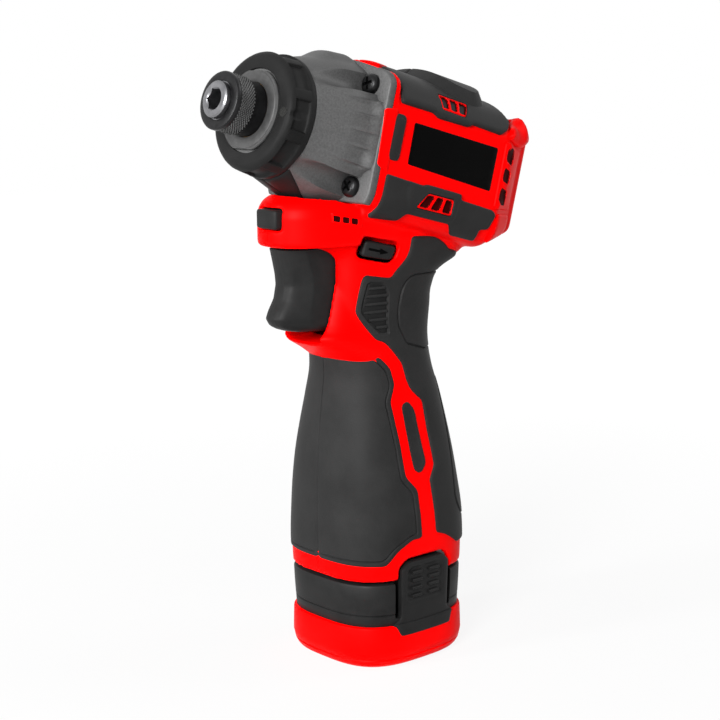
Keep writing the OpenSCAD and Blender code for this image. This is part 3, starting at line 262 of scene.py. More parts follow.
def lathe(profile, n=96, bend=None):
    # turns a profile of (station, radius) round the drive axis; bend may change a radius at an angle
    turns = np.linspace(0, 2 * math.pi, n, endpoint=False)
    rings = []
    for s, r in profile:
        radius = np.full(n, float(r)) if bend is None else bend(s, r, turns)
        rings.append(onAxis(np.full(n, float(s)), radius * np.sin(turns), radius * np.cos(turns)))
    return rings


# the handle's skin

handle = dict(
    levels=144 * np.array([0, 0.014, 0.1, 0.213, 0.278, 0.347, 0.417, 0.486, 0.556, 0.625, 0.694, 0.764,
                           0.833, 0.875, 0.917, 0.951, 1]),
    depth=52 * np.array([0.468, 0.485, 0.487, 0.5, 0.504, 0.5, 0.487, 0.469, 0.446, 0.419, 0.385, 0.381,
                         0.404, 0.412, 0.454, 0.56, 0.567]),
    width=50.6 * np.array([0.465, 0.484, 0.486, 0.498, 0.502, 0.498, 0.482, 0.459, 0.431, 0.399, 0.364,
                           0.348, 0.348, 0.352, 0.362, 0.37, 0.38]),
    shift=52 * np.array([0, 0, 0, 0, 0, 0.002, 0.012, 0.019, 0.023, 0.027, 0.04, 0.067, 0.096, 0.088, 0.046,
                         -0.063, -0.067]),
    square=np.array([3, 3, 3, 3, 3, 2.9, 2.8, 2.7, 2.5, 2.3, 2.2, 2.3, 2.8, 2.8, 2.8, 3, 3]),
    halfGirth=72.0,          # nominal way round one side, from the front seam to the back seam
    meanSquare=2.6,
)


def powered(v, n):
    return np.sign(v) * np.abs(v) ** (2 / n)


girthAngles = np.linspace(0, math.pi, 721)
girthLine = np.stack([powered(turn(girthAngles), handle["meanSquare"]) for turn in (np.cos, np.sin)])
girthShares = np.concatenate([[0], np.cumsum(np.hypot(*np.diff(girthLine)))])
girthShares /= girthShares[-1]


def along(z, values):
    # smooth curve through the handle's table
    levels = handle["levels"]
    z = np.clip(z, levels[0], levels[-1])
    k = np.clip(np.searchsorted(levels, z, side="right") - 1, 0, len(levels) - 2)
    step = levels[k + 1] - levels[k]
    t = (z - levels[k]) / step
    slope = np.gradient(values, levels)
    return ((2 * t ** 3 - 3 * t ** 2 + 1) * values[k] + (t ** 3 - 2 * t ** 2 + t) * step * slope[k]
            + (3 * t ** 2 - 2 * t ** 3) * values[k + 1] + (t ** 3 - t ** 2) * step * slope[k + 1])


def handleSkin(w, z):
    a = np.interp(np.abs(w) / handle["halfGirth"], girthShares, girthAngles)
    n = along(z, handle["square"])
    x = along(z, handle["shift"]) + along(z, handle["depth"]) * powered(np.cos(a), n)
    y = np.sign(w) * along(z, handle["width"]) * powered(np.sin(a), n)
    return np.stack([x, y, z], -1)


def handlePoint(w, z, lift=0.0, probe=0.4):
    w, z = np.asarray(w, float), np.asarray(z, float)
    across = handleSkin(w + probe, z) - handleSkin(w - probe, z)
    upward = handleSkin(w, z + probe) - handleSkin(w, z - probe)
    out = np.cross(across, upward)
    out /= np.linalg.norm(out, axis=-1, keepdims=True)
    return handleSkin(w, z) + np.asarray(lift, float)[..., None] * out


def handleRing(z, lift=0.0, n=128):
    w = np.linspace(-handle["halfGirth"], handle["halfGirth"], n, endpoint=False)
    ring = handlePoint(w, np.full(n, float(z)), np.full(n, float(lift)))
    ring[:, 2] = z
    return ring


# the head's skin

head = dict(front=15.2, rim=13.0, back=-57.0, shoulder=-40.0, lobeY=17.0, lobeH=16.5, lobe=8.5, drawIn=0.14,
            endBall=4.25, drop=2.8, dropPower=1.5, spring=10.0, domeGirth=36.85, flangeLow=21.4,
            squareAt=-50.0, squareOver=5.0)
headCorner = head["lobe"] * math.pi / 2
headSide = head["lobeY"] + headCorner                # girth from the top seam to the flat side
headUnder = headSide + 2 * head["lobeH"] + headCorner
domeAngles = np.linspace(0, math.pi / 2, 181)
domeHalf, domeRise = head["lobeY"] + head["lobe"], head["lobeH"] + head["lobe"] - head["spring"]
domeSteps = np.hypot(np.diff(domeHalf * np.sin(domeAngles)), np.diff(domeRise * np.cos(domeAngles)))
domeShares = np.concatenate([[0], np.cumsum(domeSteps)])
domeShares /= domeShares[-1]


def headHalf(s):
    k = np.clip((head["shoulder"] - s) / (head["shoulder"] - head["back"] - head["endBall"]), 0, 1)
    return (head["lobeY"] * (1 - head["drawIn"] * k), head["lobeH"] * (1 - head["drawIn"] * k),
            head["lobe"] + (head["endBall"] - head["lobe"]) * k)


def lobedPoint(s, g, lift=0.0):
    # square section with a boss in each corner: s along the axis, g the girth from the top seam
    s, g = np.asarray(s, float), np.asarray(g, float)
    way, side = np.abs(g), np.where(g < 0, -1.0, 1.0)
    cy, ch, r = headHalf(s)
    r = r + np.asarray(lift, float)
    upper = np.clip((way - head["lobeY"]) / head["lobe"], 0, math.pi / 2)
    lower = np.clip((way - headSide - 2 * head["lobeH"]) / head["lobe"], 0, math.pi / 2)
    flat = np.clip((way - headSide) / (2 * head["lobeH"]), 0, 1)
    bearing = upper + lower
    top, under = np.clip(way / head["lobeY"], 0, 1), np.clip((way - headUnder) / head["lobeY"], 0, 1)
    drop = head["drop"] * top ** head["dropPower"] * (flat <= 0) * (s > 0)
    y = cy * (top - under) + r * np.sin(bearing)
    h = ch * (1 - 2 * flat) + (r - drop) * np.cos(bearing)
    return onAxis(s, side * y, h)


def flangePoint(s, g, lift=0.0):
    # the front flange is cut flat underneath
    at = lobedPoint(s, g, lift)
    short = np.maximum(-head["flangeLow"] - np.asarray(lift, float) - (at - axisStart) @ axisUp, 0)
    return at + short[..., None] * axisUp


def headPoint(s, g, lift=0.0):
    # the same section under a domed top, down the left side for positive girths
    s, g, lift = np.broadcast_arrays(np.asarray(s, float), np.asarray(g, float), np.asarray(lift, float))
    cy, ch, r = headHalf(s)
    half, low = cy + r, head["spring"] * ch / head["lobeH"]
    rise = ch + r - low
    a = np.interp(np.abs(g) / head["domeGirth"], domeShares, domeAngles)
    out = np.hypot(rise * np.sin(a), half * np.cos(a))
    y = half * np.sin(a) + lift * rise * np.sin(a) / out
    h = low + rise * np.cos(a) + lift * half * np.cos(a) / out
    domed, square = onAxis(s, np.where(g < 0, -y, y), h), lobedPoint(s, g, lift)
    # square again at the rear, over the screw that crosses there
    share = np.clip((s - head["squareAt"]) / head["squareOver"], 0, 1) * (np.abs(g) < head["domeGirth"])
    share = share[..., None]
    return domed * share + square * (1 - share)


def headRing(s, lift=0.0, n=128, skin=headPoint):
    whole = headUnder + head["lobeY"]
    g = np.linspace(-whole, whole, n, endpoint=False)
    return skin(np.full(n, float(s)), g, np.full(n, float(lift)))


# the chin's skin

chin = dict(back=-26.0, front=45.0, half=19.0, power=2.3, low=142.6,
            plan=[(-0.8, 0), (-0.3, 0.4), (0, 1.0), (0, 9.9), (-0.7, 12.4), (-2.0, 14.4), (-4.0, 15.8),
                  (-5.5, 16.4)])


def chinPoint(x, z, lift=0.0):
    x, z = np.asarray(x, float), np.asarray(z, float)
    centre, reach = (chin["back"] + chin["front"]) / 2, (chin["front"] - chin["back"]) / 2
    y = chin["half"] * np.clip(1 - np.abs((x - centre) / reach) ** chin["power"], 0, 1) ** (1 / chin["power"])
    return np.stack([x, y + np.asarray(lift, float), z], -1)


def planRing(z, back, front, half, power, n=128):
    a = np.linspace(0, 2 * math.pi, n, endpoint=False)
    centre, reach = (back + front) / 2, (front - back) / 2
    x, y = centre + reach * powered(np.cos(a), power), half * powered(np.sin(a), power)
    return np.stack([x, y, np.full(n, float(z))], -1)


# panels that follow a skin

fill = dict(rowShare=0.87, rimClear=0.1, gridClear=0.45, markClear=0.35, markEdge=0.35)
sides = {"left": 1, "right": -1}


def roundLoop(corners, radius, step=0.7, most=0.45, bends=7, fewest=8):
    # closed outline through the corners, each one rounded, resampled at an even step
    corners = np.array(corners, float)
    points = []
    for before, here, after in zip(np.roll(corners, 1, 0), corners, np.roll(corners, -1, 0)):
        back, on = before - here, after - here
        reach = min(radius, most * np.linalg.norm(back), most * np.linalg.norm(on))
        first = here + back / np.linalg.norm(back) * reach
        last = here + on / np.linalg.norm(on) * reach
        for t in np.linspace(0, 1, bends):
            points.append((1 - t) ** 2 * first + 2 * t * (1 - t) * here + t ** 2 * last)
    points = np.array(points + points[:1])
    length = np.concatenate([[0], np.cumsum(np.linalg.norm(np.diff(points, axis=0), axis=1))])
    at = np.linspace(0, length[-1], max(fewest, int(length[-1] / step)), endpoint=False)
    return np.stack([np.interp(at, length, points[:, i]) for i in (0, 1)], 1)


def depthIn(points, loop):
    # distance from an outline, positive inside it
    ahead = np.roll(loop, -1, 0)
    run = ahead - loop
    found = []
    for chunk in np.array_split(points, len(points) // 3000 + 1):
        gap = chunk[:, None] - loop
        t = np.clip((gap * run).sum(2) / ((run * run).sum(1) + 1e-12), 0, 1)
        away = np.linalg.norm(gap - run * t[..., None], axis=2).min(1)
        y = chunk[:, 1:2]
        crosses = (loop[:, 1] > y) != (ahead[:, 1] > y)
        level = np.where(np.abs(run[:, 1]) < 1e-9, 1e-9, run[:, 1])
        cut = run[:, 0] * (y - loop[:, 1]) / level + loop[:, 0]
        inside = (crosses & (chunk[:, 0:1] < cut)).sum(1) % 2 == 1
        found.append(np.where(inside, away, -away))
    return np.concatenate(found)


def ringsBeside(loop, offsets, near=0.05):
    # points beside an outline, at offsets towards its inside
    ahead = np.roll(loop, -1, 0) - np.roll(loop, 1, 0)
    turn = np.sign((loop[:, 0] * np.roll(loop[:, 1], -1) - np.roll(loop[:, 0], -1) * loop[:, 1]).sum())
    normal = np.stack([-ahead[:, 1], ahead[:, 0]], 1) / np.linalg.norm(ahead, axis=1)[:, None] * turn
    kept = []
    for offset in offsets:
        moved = loop + normal * offset
        kept.append(moved[np.abs(depthIn(moved, loop) - offset) < near])
    return kept


def ease(t):
    t = np.clip(t, 0, 1)
    return t * t * (3 - 2 * t)


def panel(name, skin, side, outline, profile, radius=1.0, features=(), step=1.3, skirt=-0.9, fine=0.7):
    # a solid on a skin: profile gives (inset, height) from the edge inwards, features raise or sink areas
    loop = roundLoop(outline, radius, fine)
    marks = [dict(f, edge=f.get("edge", fill["markEdge"]),
                  loop=roundLoop(f["outline"], f.get("radius", 1.0), fine))
             for f in features]
    rim = profile[-1][0]
    points = [loop] + ringsBeside(loop, [inset for inset, _ in profile if inset > 0])
    low, high = loop.min(0), loop.max(0)
    rows = np.arange(low[1], high[1], step * fill["rowShare"])
    grid = np.array([(x + (k % 2) * step / 2, y)
                     for k, y in enumerate(rows) for x in np.arange(low[0], high[0], step)])
    keep = depthIn(grid, loop) > rim + step * fill["gridClear"]
    for mark in marks:
        offsets = mark["edge"] * np.array([-1, -0.5, 0, 0.5, 1] if "groove" in mark else [-1, 0, 1])
        points += [p[depthIn(p, loop) > rim + fill["rimClear"]] for p in ringsBeside(mark["loop"], offsets)]
        keep &= np.abs(depthIn(grid, mark["loop"])) > mark["edge"] + step * fill["markClear"]
    points = np.concatenate(points + [grid[keep]])
    edges = [(i, (i + 1) % len(loop)) for i in range(len(loop))]
    flat, _, faces, _, _, _ = delaunay_2d_cdt([Vector(p) for p in points], edges, [], 1, 1e-4)
    flat = np.array([tuple(p) for p in flat])
    height = np.interp(depthIn(flat, loop), *zip(*profile))
    middles = np.array([flat[list(f)].mean(0) for f in faces])
    shaded = np.zeros(len(faces), bool)
    for mark in marks:
        edge, inside = mark["edge"], depthIn(flat, mark["loop"])
        height += mark.get("groove", 0.0) * np.clip(1 - np.abs(inside) / edge, 0, 1)
        height += mark.get("rise", 0.0) * ease((inside + edge) / (2 * edge))
        if mark.get("shade"):
            shaded |= depthIn(middles, mark["loop"]) > -edge / 2
    top = skin(flat[:, 0], flat[:, 1], height)
    base = skin(flat[:, 0], flat[:, 1], np.full(len(flat), skirt))
    n = len(flat)
    used = dict.fromkeys((a, b) for face in faces for a, b in zip(face, face[1:] + face[:1]))
    solid = [tuple(f) for f in faces] + [tuple(i + n for i in f)[::-1] for f in faces]
    solid += [(b, a, a + n, b + n) for a, b in used if (b, a) not in used]
    piece = makeMesh(name, np.concatenate([top, base]) * [1, side, 1], solid)
    if shaded.any():
        piece["shadeIndex"] = [int(i) for i in np.nonzero(shaded)[0]]
    return piece


def bothSides(name, skin, **form):
    return [panel(name, skin, side, **form) for side in sides.values()]


def shadedPanel(name, skin, side, nodes=(), **form):
    # a red panel whose marked areas take the dark red finish as painted shade
    piece = panel(name, skin, side, **form)
    shaded = list(piece["shadeIndex"])
    del piece["shadeIndex"]
    place(piece, ["red_shell", "shade"], "housing", nodes)
    for i in shaded:
        piece.data.polygons[i].material_index = 1


def joinPieces(name, pieces):
    # several solids of one finish as one piece
    work = bmesh.new()
    for piece in pieces:
        work.from_mesh(piece.data)
        bpy.data.objects.remove(piece)
    mesh = bpy.data.meshes.new(name)
    work.to_mesh(mesh)
    work.free()
    return addObject(name, mesh)


# repeated and path-following details by Geometry Nodes


def newTree(name, inputs):
    tree = bpy.data.node_groups.new(name, "GeometryNodeTree")
    tree.interface.new_socket("Geometry", in_out="INPUT", socket_type="NodeSocketGeometry")
    for label, kind in inputs.items():
        tree.interface.new_socket(label, in_out="INPUT", socket_type="NodeSocket" + kind)
    tree.interface.new_socket("Geometry", in_out="OUTPUT", socket_type="NodeSocketGeometry")
    return tree, tree.nodes.new("NodeGroupInput").outputs, tree.nodes.new("NodeGroupOutput")


def closeTree(tree, given, end, made):
    made = addNode(tree, "GeometryNodeRealizeInstances", links={"Geometry": made}).outputs["Geometry"]
    made = addNode(tree, "GeometryNodeSetMaterial", links={"Geometry": made, "Material": given["Finish"]})
    tree.links.new(made.outputs["Geometry"], end.inputs["Geometry"])
    return tree


def makeBarTree():
    # round bars that follow polylines
    tree, given, end = newTree("followBars", {"Radius": "Float", "Finish": "Material"})
    path = addNode(tree, "GeometryNodeMeshToCurve", links={"Mesh": given["Geometry"]}).outputs["Curve"]
    ring = addNode(tree, "GeometryNodeCurvePrimitiveCircle", {"Resolution": 10}, {"Radius": given["Radius"]})
    bar = addNode(tree, "GeometryNodeCurveToMesh", {"Fill Caps": True},
                  {"Curve": path, "Profile Curve": ring.outputs["Curve"]})
    return closeTree(tree, given, end, bar.outputs["Mesh"])


def makeSpotTree():
    # one shape repeated on points, each turned by the point's own angles
    tree, given, end = newTree("repeatOnPoints", {"Shape": "Object", "Size": "Float", "Finish": "Material"})
    shape = addNode(tree, "GeometryNodeObjectInfo", links={"Object": given["Shape"]},
                    transform_space="ORIGINAL")
    turn = addNode(tree, "GeometryNodeInputNamedAttribute", {"Name": "turn"}, data_type="FLOAT_VECTOR")
    turn = addNode(tree, "FunctionNodeEulerToRotation", links={"Euler": turn.outputs["Attribute"]})
    spots = addNode(tree, "GeometryNodeInstanceOnPoints",
                    links={"Points": given["Geometry"], "Instance": shape.outputs["Geometry"],
                           "Rotation": turn.outputs["Rotation"], "Scale": given["Size"]})
    return closeTree(tree, given, end, spots.outputs["Instances"])


barTree, spotTree = makeBarTree(), makeSpotTree()


def growTree(piece, tree, values):
    grow = piece.modifiers.new("grow", "NODES")
    grow.node_group = tree
    for item in tree.interface.items_tree:
        if item.in_out == "INPUT" and item.name in values:
            grow[item.identifier] = values[item.name]
    evaluated(piece)
    return piece


def bars(name, lines, radius, slot):
    verts, edges = [], []
    for line in lines:
        edges += [(len(verts) + i, len(verts) + i + 1) for i in range(len(line) - 1)]
        verts += [tuple(p * mm) for p in line]
    mesh = bpy.data.meshes.new(name)
    mesh.from_pydata(verts, edges, [])
    return growTree(addObject(name, mesh), barTree, {"Radius": radius * mm, "Finish": finish[slot]})


def spots(name, shape, places, turns, slot):
    mesh = bpy.data.meshes.new(name)
    mesh.from_pydata([tuple(p * mm) for p in places], [], [])
    mesh.attributes.new("turn", "FLOAT_VECTOR", "POINT").data.foreach_set("vector",
                                                                          np.array(turns, float).ravel())
    piece = growTree(addObject(name, mesh), spotTree, {"Shape": shape, "Size": 1.0, "Finish": finish[slot]})
    bpy.data.objects.remove(shape)
    return piece


def axisTurn(roll=0.0):
    # angles that lay a shape's Z along the drive axis
    tilt = math.atan2(axisAlong[0], axisAlong[2])
    return (Matrix.Rotation(tilt, 3, "Y") @ Matrix.Rotation(roll, 3, "Z")).to_euler()


# red shell: one smooth form from the handle, head, chin and lip, with its hollows, parted at the middle

shell = dict(wall=2.2, lowEdge=30.7, topEdge=145.0, ringStep=1.6, headStep=1.5, rearTurn=1.45, rearRings=7,
             flangeSoft=0.6, voxel=0.64, smoothing=5, evenness=0.5, seam=0.05)
# lip under the trigger, and the cheeks that rise from it on both sides: height, reach, half width
lip = dict(
    back=-8, power=2.4,
    rings=[(103.0, 20.5, 16.8), (105.0, 23.6, 16.9), (107.0, 26.6, 16.9), (108.8, 29.8, 16.6),
           (110.4, 32.8, 16.2), (112.0, 34.0, 15.8), (113.0, 33.8, 15.5), (113.8, 32.8, 15.3),
           (117.0, 30.8, 15.2), (122.0, 29.2, 15.2), (128.0, 27.6, 15.3), (134.0, 26.0, 15.4),
           (136.5, 26.2, 15.4), (138.6, 27.6, 15.5), (140.4, 30.2, 15.7), (141.8, 34.0, 16.0),
           (143.2, 39.5, 16.4)])
selector = dict(pocket=[(17.0, 138.4), (18.9, 145.8), (30.8, 142.2), (28.9, 135.6)],
                pad=[(18.4, 138.9), (19.9, 144.2), (29.4, 141.2), (28.0, 136.7)])
latchArch = [(27.3, 18), (27.3, 34.6), (30.2, 37.4), (41.2, 37.4), (44.1, 34.6), (44.1, 18)]
above = [(0, 5.0)]
rooms = dict(
    case=[(15.25, 0.2), (15.25, 26.1), (27.6, 24.7), (40.4, 20.5), (62.0, 20.5), (62.0, 0.2)],
    flange=dict(stations=(15.25, 21.0), lift=0.3),
    motor=[(-51.4, 8.1), (-46.6, 8.1), (-46.5, 20.8), (-10.5, 20.8), (-10.4, 21.8), (17.0, 21.8)],
    tower=dict(low=29.0, high=142.5, step=2.0),
    trigger=dict(outline=[(11.6, 112.6), (70, 107), (70, 142.2), (11.6, 142.2)], radius=0.8, step=1.0,
                 half=8.7),
    light=((38.5, -5.4, 148.2), (70, 5.4, 155.2)),
    selector=dict(outline=selector["pocket"], profile=above, radius=1.4, skirt=-6.4),
    latch=dict(outline=latchArch, profile=above, radius=0.8, skirt=-2.8))


def boxMesh(name, low, high):
    corners = [(x, y, z) for x in (low[0], high[0]) for y in (low[1], high[1]) for z in (low[2], high[2])]
    return makeMesh(name, corners, [(0, 1, 3, 2), (4, 6, 7, 5), (0, 4, 5, 1), (2, 3, 7, 6), (0, 2, 6, 4),
                                    (1, 5, 7, 3)])


def prism(name, outline, half):
    # outline of (x, z) carried across the middle
    n = len(outline)
    verts = [(x, y, z) for y in (-half, half) for x, z in outline]
    faces = [tuple(range(n)), tuple(range(2 * n - 1, n - 1, -1))]
    faces += [(i, i + n, (i + 1) % n + n, (i + 1) % n) for i in range(n)]
    return makeMesh(name, verts, faces)


def closed(piece):
    settleMesh(piece)
    return piece


def loftPiece(name, rings):
    return closed(makeMesh(name, *loft(rings)))


def headRings():
    turnIn, ball = np.linspace(shell["rearTurn"], 0, shell["rearRings"]), head["endBall"]
    rings = [headRing(head["back"] + ball - ball * math.sin(a), -(1 - math.cos(a)) * ball) for a in turnIn]
    plain = np.arange(head["back"] + ball + shell["headStep"], head["rim"] - 1, shell["headStep"])
    rings += [headRing(s) for s in np.append(plain, head["rim"] - shell["flangeSoft"])]
    flange = (head["rim"], head["rim"] + shell["flangeSoft"], head["front"])
    return rings + [headRing(s, skin=flangePoint) for s in flange]


def shellRooms():
    # what is taken out of the shell
    flange, tower, pull = rooms["flange"], rooms["tower"], rooms["trigger"]
    front = [headRing(s, flange["lift"], skin=flangePoint) for s in flange["stations"]]
    levels = np.arange(tower["low"], tower["high"], tower["step"])
    slot = roundLoop(pull["outline"], pull["radius"], pull["step"])
    cutters = [loftPiece("caseRoom", lathe(rooms["case"])), loftPiece("flangeRoom", front),
               loftPiece("motorRoom", lathe(rooms["motor"])),
               loftPiece("towerRoom", [handleRing(z, -shell["wall"]) for z in levels]),
               closed(prism("triggerRoom", slot, pull["half"])),
               closed(boxMesh("lightRoom", *rooms["light"]))]
    for side in sides.values():
        cutters += [closed(panel(k + "Room", handlePoint, side, **rooms[k])) for k in ("selector", "latch")]
    return cutters


def buildShell():
    levels = np.append(np.arange(shell["lowEdge"], shell["topEdge"], shell["ringStep"]), shell["topEdge"])
    body = loftPiece("shellForm", [handleRing(z) for z in levels])
    chinRings = [planRing(chin["low"] + z, chin["back"] - inset, chin["front"] + inset, chin["half"] + inset,
                          chin["power"]) for inset, z in chin["plan"]]
    lipRings = [planRing(z, lip["back"], reach, half, lip["power"]) for z, reach, half in lip["rings"]]
    for name, rings in (("headForm", headRings()), ("chinForm", chinRings), ("lipForm", lipRings)):
        combine(body, loftPiece(name, rings), "UNION")
    for cutter in shellRooms():
        combine(body, cutter, "DIFFERENCE")
    fine = body.modifiers.new("fine", "REMESH")
    fine.mode = "VOXEL"
    fine.voxel_size = shell["voxel"] * mm
    even = body.modifiers.new("even", "SMOOTH")
    even.factor, even.iterations = shell["evenness"], shell["smoothing"]
    evaluated(body)
    return body


def partShell(whole, name, side):
    # one side of the shell, closed at the seam
    half = addObject(name, whole.data.copy())
    work = bmesh.new()
    work.from_mesh(half.data)
    cut = bmesh.ops.bisect_plane(work, geom=work.verts[:] + work.edges[:] + work.faces[:], dist=1e-6,
                                 plane_co=(0, side * shell["seam"] * mm, 0), plane_no=(0, -side, 0),
                                 clear_outer=True)
    rim = [e for e in cut["geom_cut"] if isinstance(e, bmesh.types.BMEdge)]
    bmesh.ops.triangle_fill(work, use_beauty=False, edges=rim)
    work.to_mesh(half.data)
    work.free()
    return half


redShell = buildShell()
for sideName, side in sides.items():
    half = partShell(redShell, "shell_" + sideName, side)
    place(half, "red_shell", "housing", ["housing_" + sideName], angle=50)
    print("shell half:", sideName, len(half.data.polygons), "faces")
bpy.data.objects.remove(redShell)

# soft grips on the handle

softEdge = [(0, 0.0), (0.2, 0.22), (0.5, 0.45), (0.9, 0.5)]
frontLine = [(-3, 38.0), (22.2, 37.9), (26.0, 42.2), (31.2, 45.3), (32.9, 45.2), (32.2, 59.3), (28.6, 64.3),
             (27.2, 75.2), (24.2, 90.2), (26.2, 95.4), (25.4, 100.2), (21.4, 105.0), (19.6, 105.7),
             (11.5, 106.7), (7.4, 105.2), (-3, 104.2)]
frontGrip = dict(
    outline=[(-0.08, 36.3), (23.0, 36.1), (27.0, 40.7), (31.7, 43.7), (34.8, 43.5), (34.1, 60.1),
             (30.4, 65.1), (29.1, 75.5), (26.1, 90.1), (28.2, 95.6), (27.3, 101.0), (22.4, 106.9),
             (20.0, 107.6), (11.5, 108.7), (7.0, 107.2), (-0.08, 106.4)],
    profile=softEdge, radius=1.2, features=[dict(outline=frontLine, groove=-0.45, edge=0.4, radius=1.2)])
rearThick = 1.5
thumb = [(22.8, 130.4), (28.4, 129.6), (31.2, 126.6), (31.6, 121.0), (29.6, 112.6), (26.4, 112.6),
         (21.0, 120.8)]
backPad = [(38.4, 131.0), (80, 131.2), (80, 104.6), (49.7, 105.2), (38.0, 108.6), (34.8, 113.8),
           (36.4, 128.0)]
heelPad = [(55.6, 94.5), (80, 95.5), (80, 46.2), (52.0, 46.6), (48.2, 53.0), (53.6, 90.0)]
rearGrip = dict(
    outline=[(72.1, 134.0), (54.2, 135.6), (44.7, 138.2), (42.2, 141.2), (39.8, 143.2), (34.0, 144.0),
             (33.6, 141.5), (32.3, 135.5), (31.4, 131.3), (29.8, 131.2), (21.4, 132.7), (20.6, 131.6),
             (18.8, 120.7), (23.7, 110.9), (27.1, 109.7), (33.0, 102.1), (34.0, 96.5), (35.1, 94.0),
             (41.0, 89.0), (40.6, 79.1), (41.0, 67.1), (38.5, 62.8), (38.8, 44.2), (42.5, 42.5),
             (48.3, 38.2), (72.1, 38.2)],
    profile=[(inset, height * rearThick) for inset, height in softEdge],
    features=[dict(outline=thumb, rise=-0.64),
              dict(outline=backPad, rise=0.15, groove=-0.6, edge=0.5, radius=1.6),
              dict(outline=heelPad, rise=0.15, groove=-0.6, edge=0.5, radius=3.0)])
thumbPad = dict(outline=thumb, profile=[(0, -0.2), (0.45, 0.1), (0.7, 0.26)])
thumbRibs = dict(first=115.2, pitch=2.6, count=6, radius=0.55, lift=0.3, corner=1.2, ends=(0.7, 0.5),
                 points=14)
insertFloor = [(31.2, 87.8), (33.0, 88.5), (35.0, 86.0), (36.8, 68.6), (35.4, 66.5), (34.5, 67.4)]
insert = dict(outline=[(30.0, 88.6), (32.9, 89.9), (36.1, 86.4), (38.0, 68.3), (35.5, 65.1), (33.5, 66.8)],
              profile=[(0, -0.3), (0.15, 0.3), (0.4, 0.4)], radius=1.6, step=1.0,
              features=[dict(outline=insertFloor, rise=-0.3, edge=0.3, radius=1.2)])


def acrossLoop(loop, level):
    # ends of the level line inside an outline
    ahead = np.roll(loop, -1, 0)
    hit = (loop[:, 1] > level) != (ahead[:, 1] > level)
    t = (level - loop[hit, 1]) / (ahead[hit, 1] - loop[hit, 1])
    found = np.sort(loop[hit, 0] + t * (ahead[hit, 0] - loop[hit, 0]))
    return found[0], found[-1]


def levelLine(low, high, z, lift, side, points):
    w = np.linspace(low, high, points)
    return handlePoint(w, np.full(points, z), np.full(points, lift)) * [1, side, 1]


def thumbLines(side):
    r, lines, loop = thumbRibs, [], roundLoop(thumb, thumbRibs["corner"])
    for z in r["first"] + r["pitch"] * np.arange(r["count"]):
        low, high = acrossLoop(loop, z)
        lines.append(levelLine(low + r["ends"][0], high - r["ends"][1], z, r["lift"], side, r["points"]))
    return lines


for sideName, side in sides.items():
    for name, form in (("front_grip", frontGrip), ("rear_grip", rearGrip)):
        grip = panel(name + "_soft_" + sideName, handlePoint, side, **form)
        place(grip, "soft_grip", "housing", [name + "_" + sideName])
    place(panel("thumb_pad_" + sideName, handlePoint, side, **thumbPad), "nose_rubber", "housing")
    ribs = bars("thumb_ribs_" + sideName, thumbLines(side), thumbRibs["radius"], "soft_grip")
    place(ribs, "soft_grip", "housing")
    place(panel("handle_insert_" + sideName, handlePoint, side, **insert), "soft_grip", "housing")
print("grips made")

# head: black bands, vent windows, rear rails, bare plates

bandEdge = [(0, -0.3), (0.1, 0.7), (0.35, 1.05), (0.8, 1.2)]
lowerThick = 0.62
# vent windows: red bars with slots of painted shade between them
window = dict(
    upper=[(-6.7, 24.7), (-20.5, 24.9), (-17.3, 31.9), (-6.3, 31.7)],
    lower=[(-6.7, 59.6), (-18.4, 59.4), (-18.4, 64.7), (-2.2, 65.0)],
    slots=3, gap=0.14, margin=0.9, slot=dict(rise=-0.9, edge=0.22, radius=0.5, shade=True),
    form=dict(profile=[(0, 0.0), (0.15, 0.95), (0.4, 1.1)], radius=0.7, step=0.9, fine=0.45))
hump = [(-11.0, -9), (-11.0, 15), (-15.0, 21.0), (-23.5, 23.5), (-29.5, 20.5), (-32.0, 15.0), (-32.0, -9)]
lowStep = [(2.0, 55), (2.0, 64.0), (-1.0, 66.4), (-20.0, 66.4), (-22.0, 55)]
upperBand = dict(
    outline=[(2.6, 0.03), (2.6, 8.6), (11.9, 14), (11.9, 34.2), (-2.7, 33.9), (-5, 35.3), (-19.2, 34.9),
             (-20.9, 33.4), (-34.9, 33.7), (-38.5, 31), (-40.5, 27), (-46, 22), (-49, 15), (-50, 0.03)],
    profile=bandEdge, features=[dict(outline=hump, rise=3.2, edge=1.8, radius=2.5),
                                dict(outline=window["upper"], rise=-0.9, edge=0.25, radius=0.7)])
lowerBand = dict(
    outline=[(12.4, 57.2), (-4.2, 57.6), (-5.9, 56.9), (-21.6, 56.8), (-22.1, 58.6), (-37.7, 58.9),
             (-39.6, 60.3), (-37.2, 65.6), (-33.6, 66.4), (-34.6, 71.1), (-23.2, 71.3), (-19.6, 67.4),
             (-0.1, 67.8), (1.4, 71.5), (12.4, 73.6)],
    profile=[(inset, height * lowerThick) for inset, height in bandEdge],
    features=[dict(outline=lowStep, rise=0.45, edge=0.7, radius=1.5),
              dict(outline=window["lower"], rise=-1.0, edge=0.25, radius=0.7)])
# rear vent openings: shallow hollows painted with shade in the dark red finish
rearOpenings = [[(-39.2, 37.4), (-39.2, 41.8), (-43.6, 42.4), (-43.6, 38.0)],
                [(-39.2, 44.2), (-39.2, 48.6), (-43.6, 49.0), (-43.6, 44.8)],
                [(-39.2, 51.2), (-39.2, 55.6), (-43.6, 55.6), (-43.6, 51.4)]]
rearVents = dict(outline=[(-37.6, 35.2), (-37.6, 58.2), (-50.6, 58.2), (-50.6, 35.2)], step=0.9, fine=0.45,
                 profile=[(0, -0.2), (0.4, 0.5), (1.6, 0.9), (5.0, 1.15)],
                 features=[dict(outline=o, rise=-0.8, edge=0.25, radius=0.8,
                                shade=True) for o in rearOpenings])
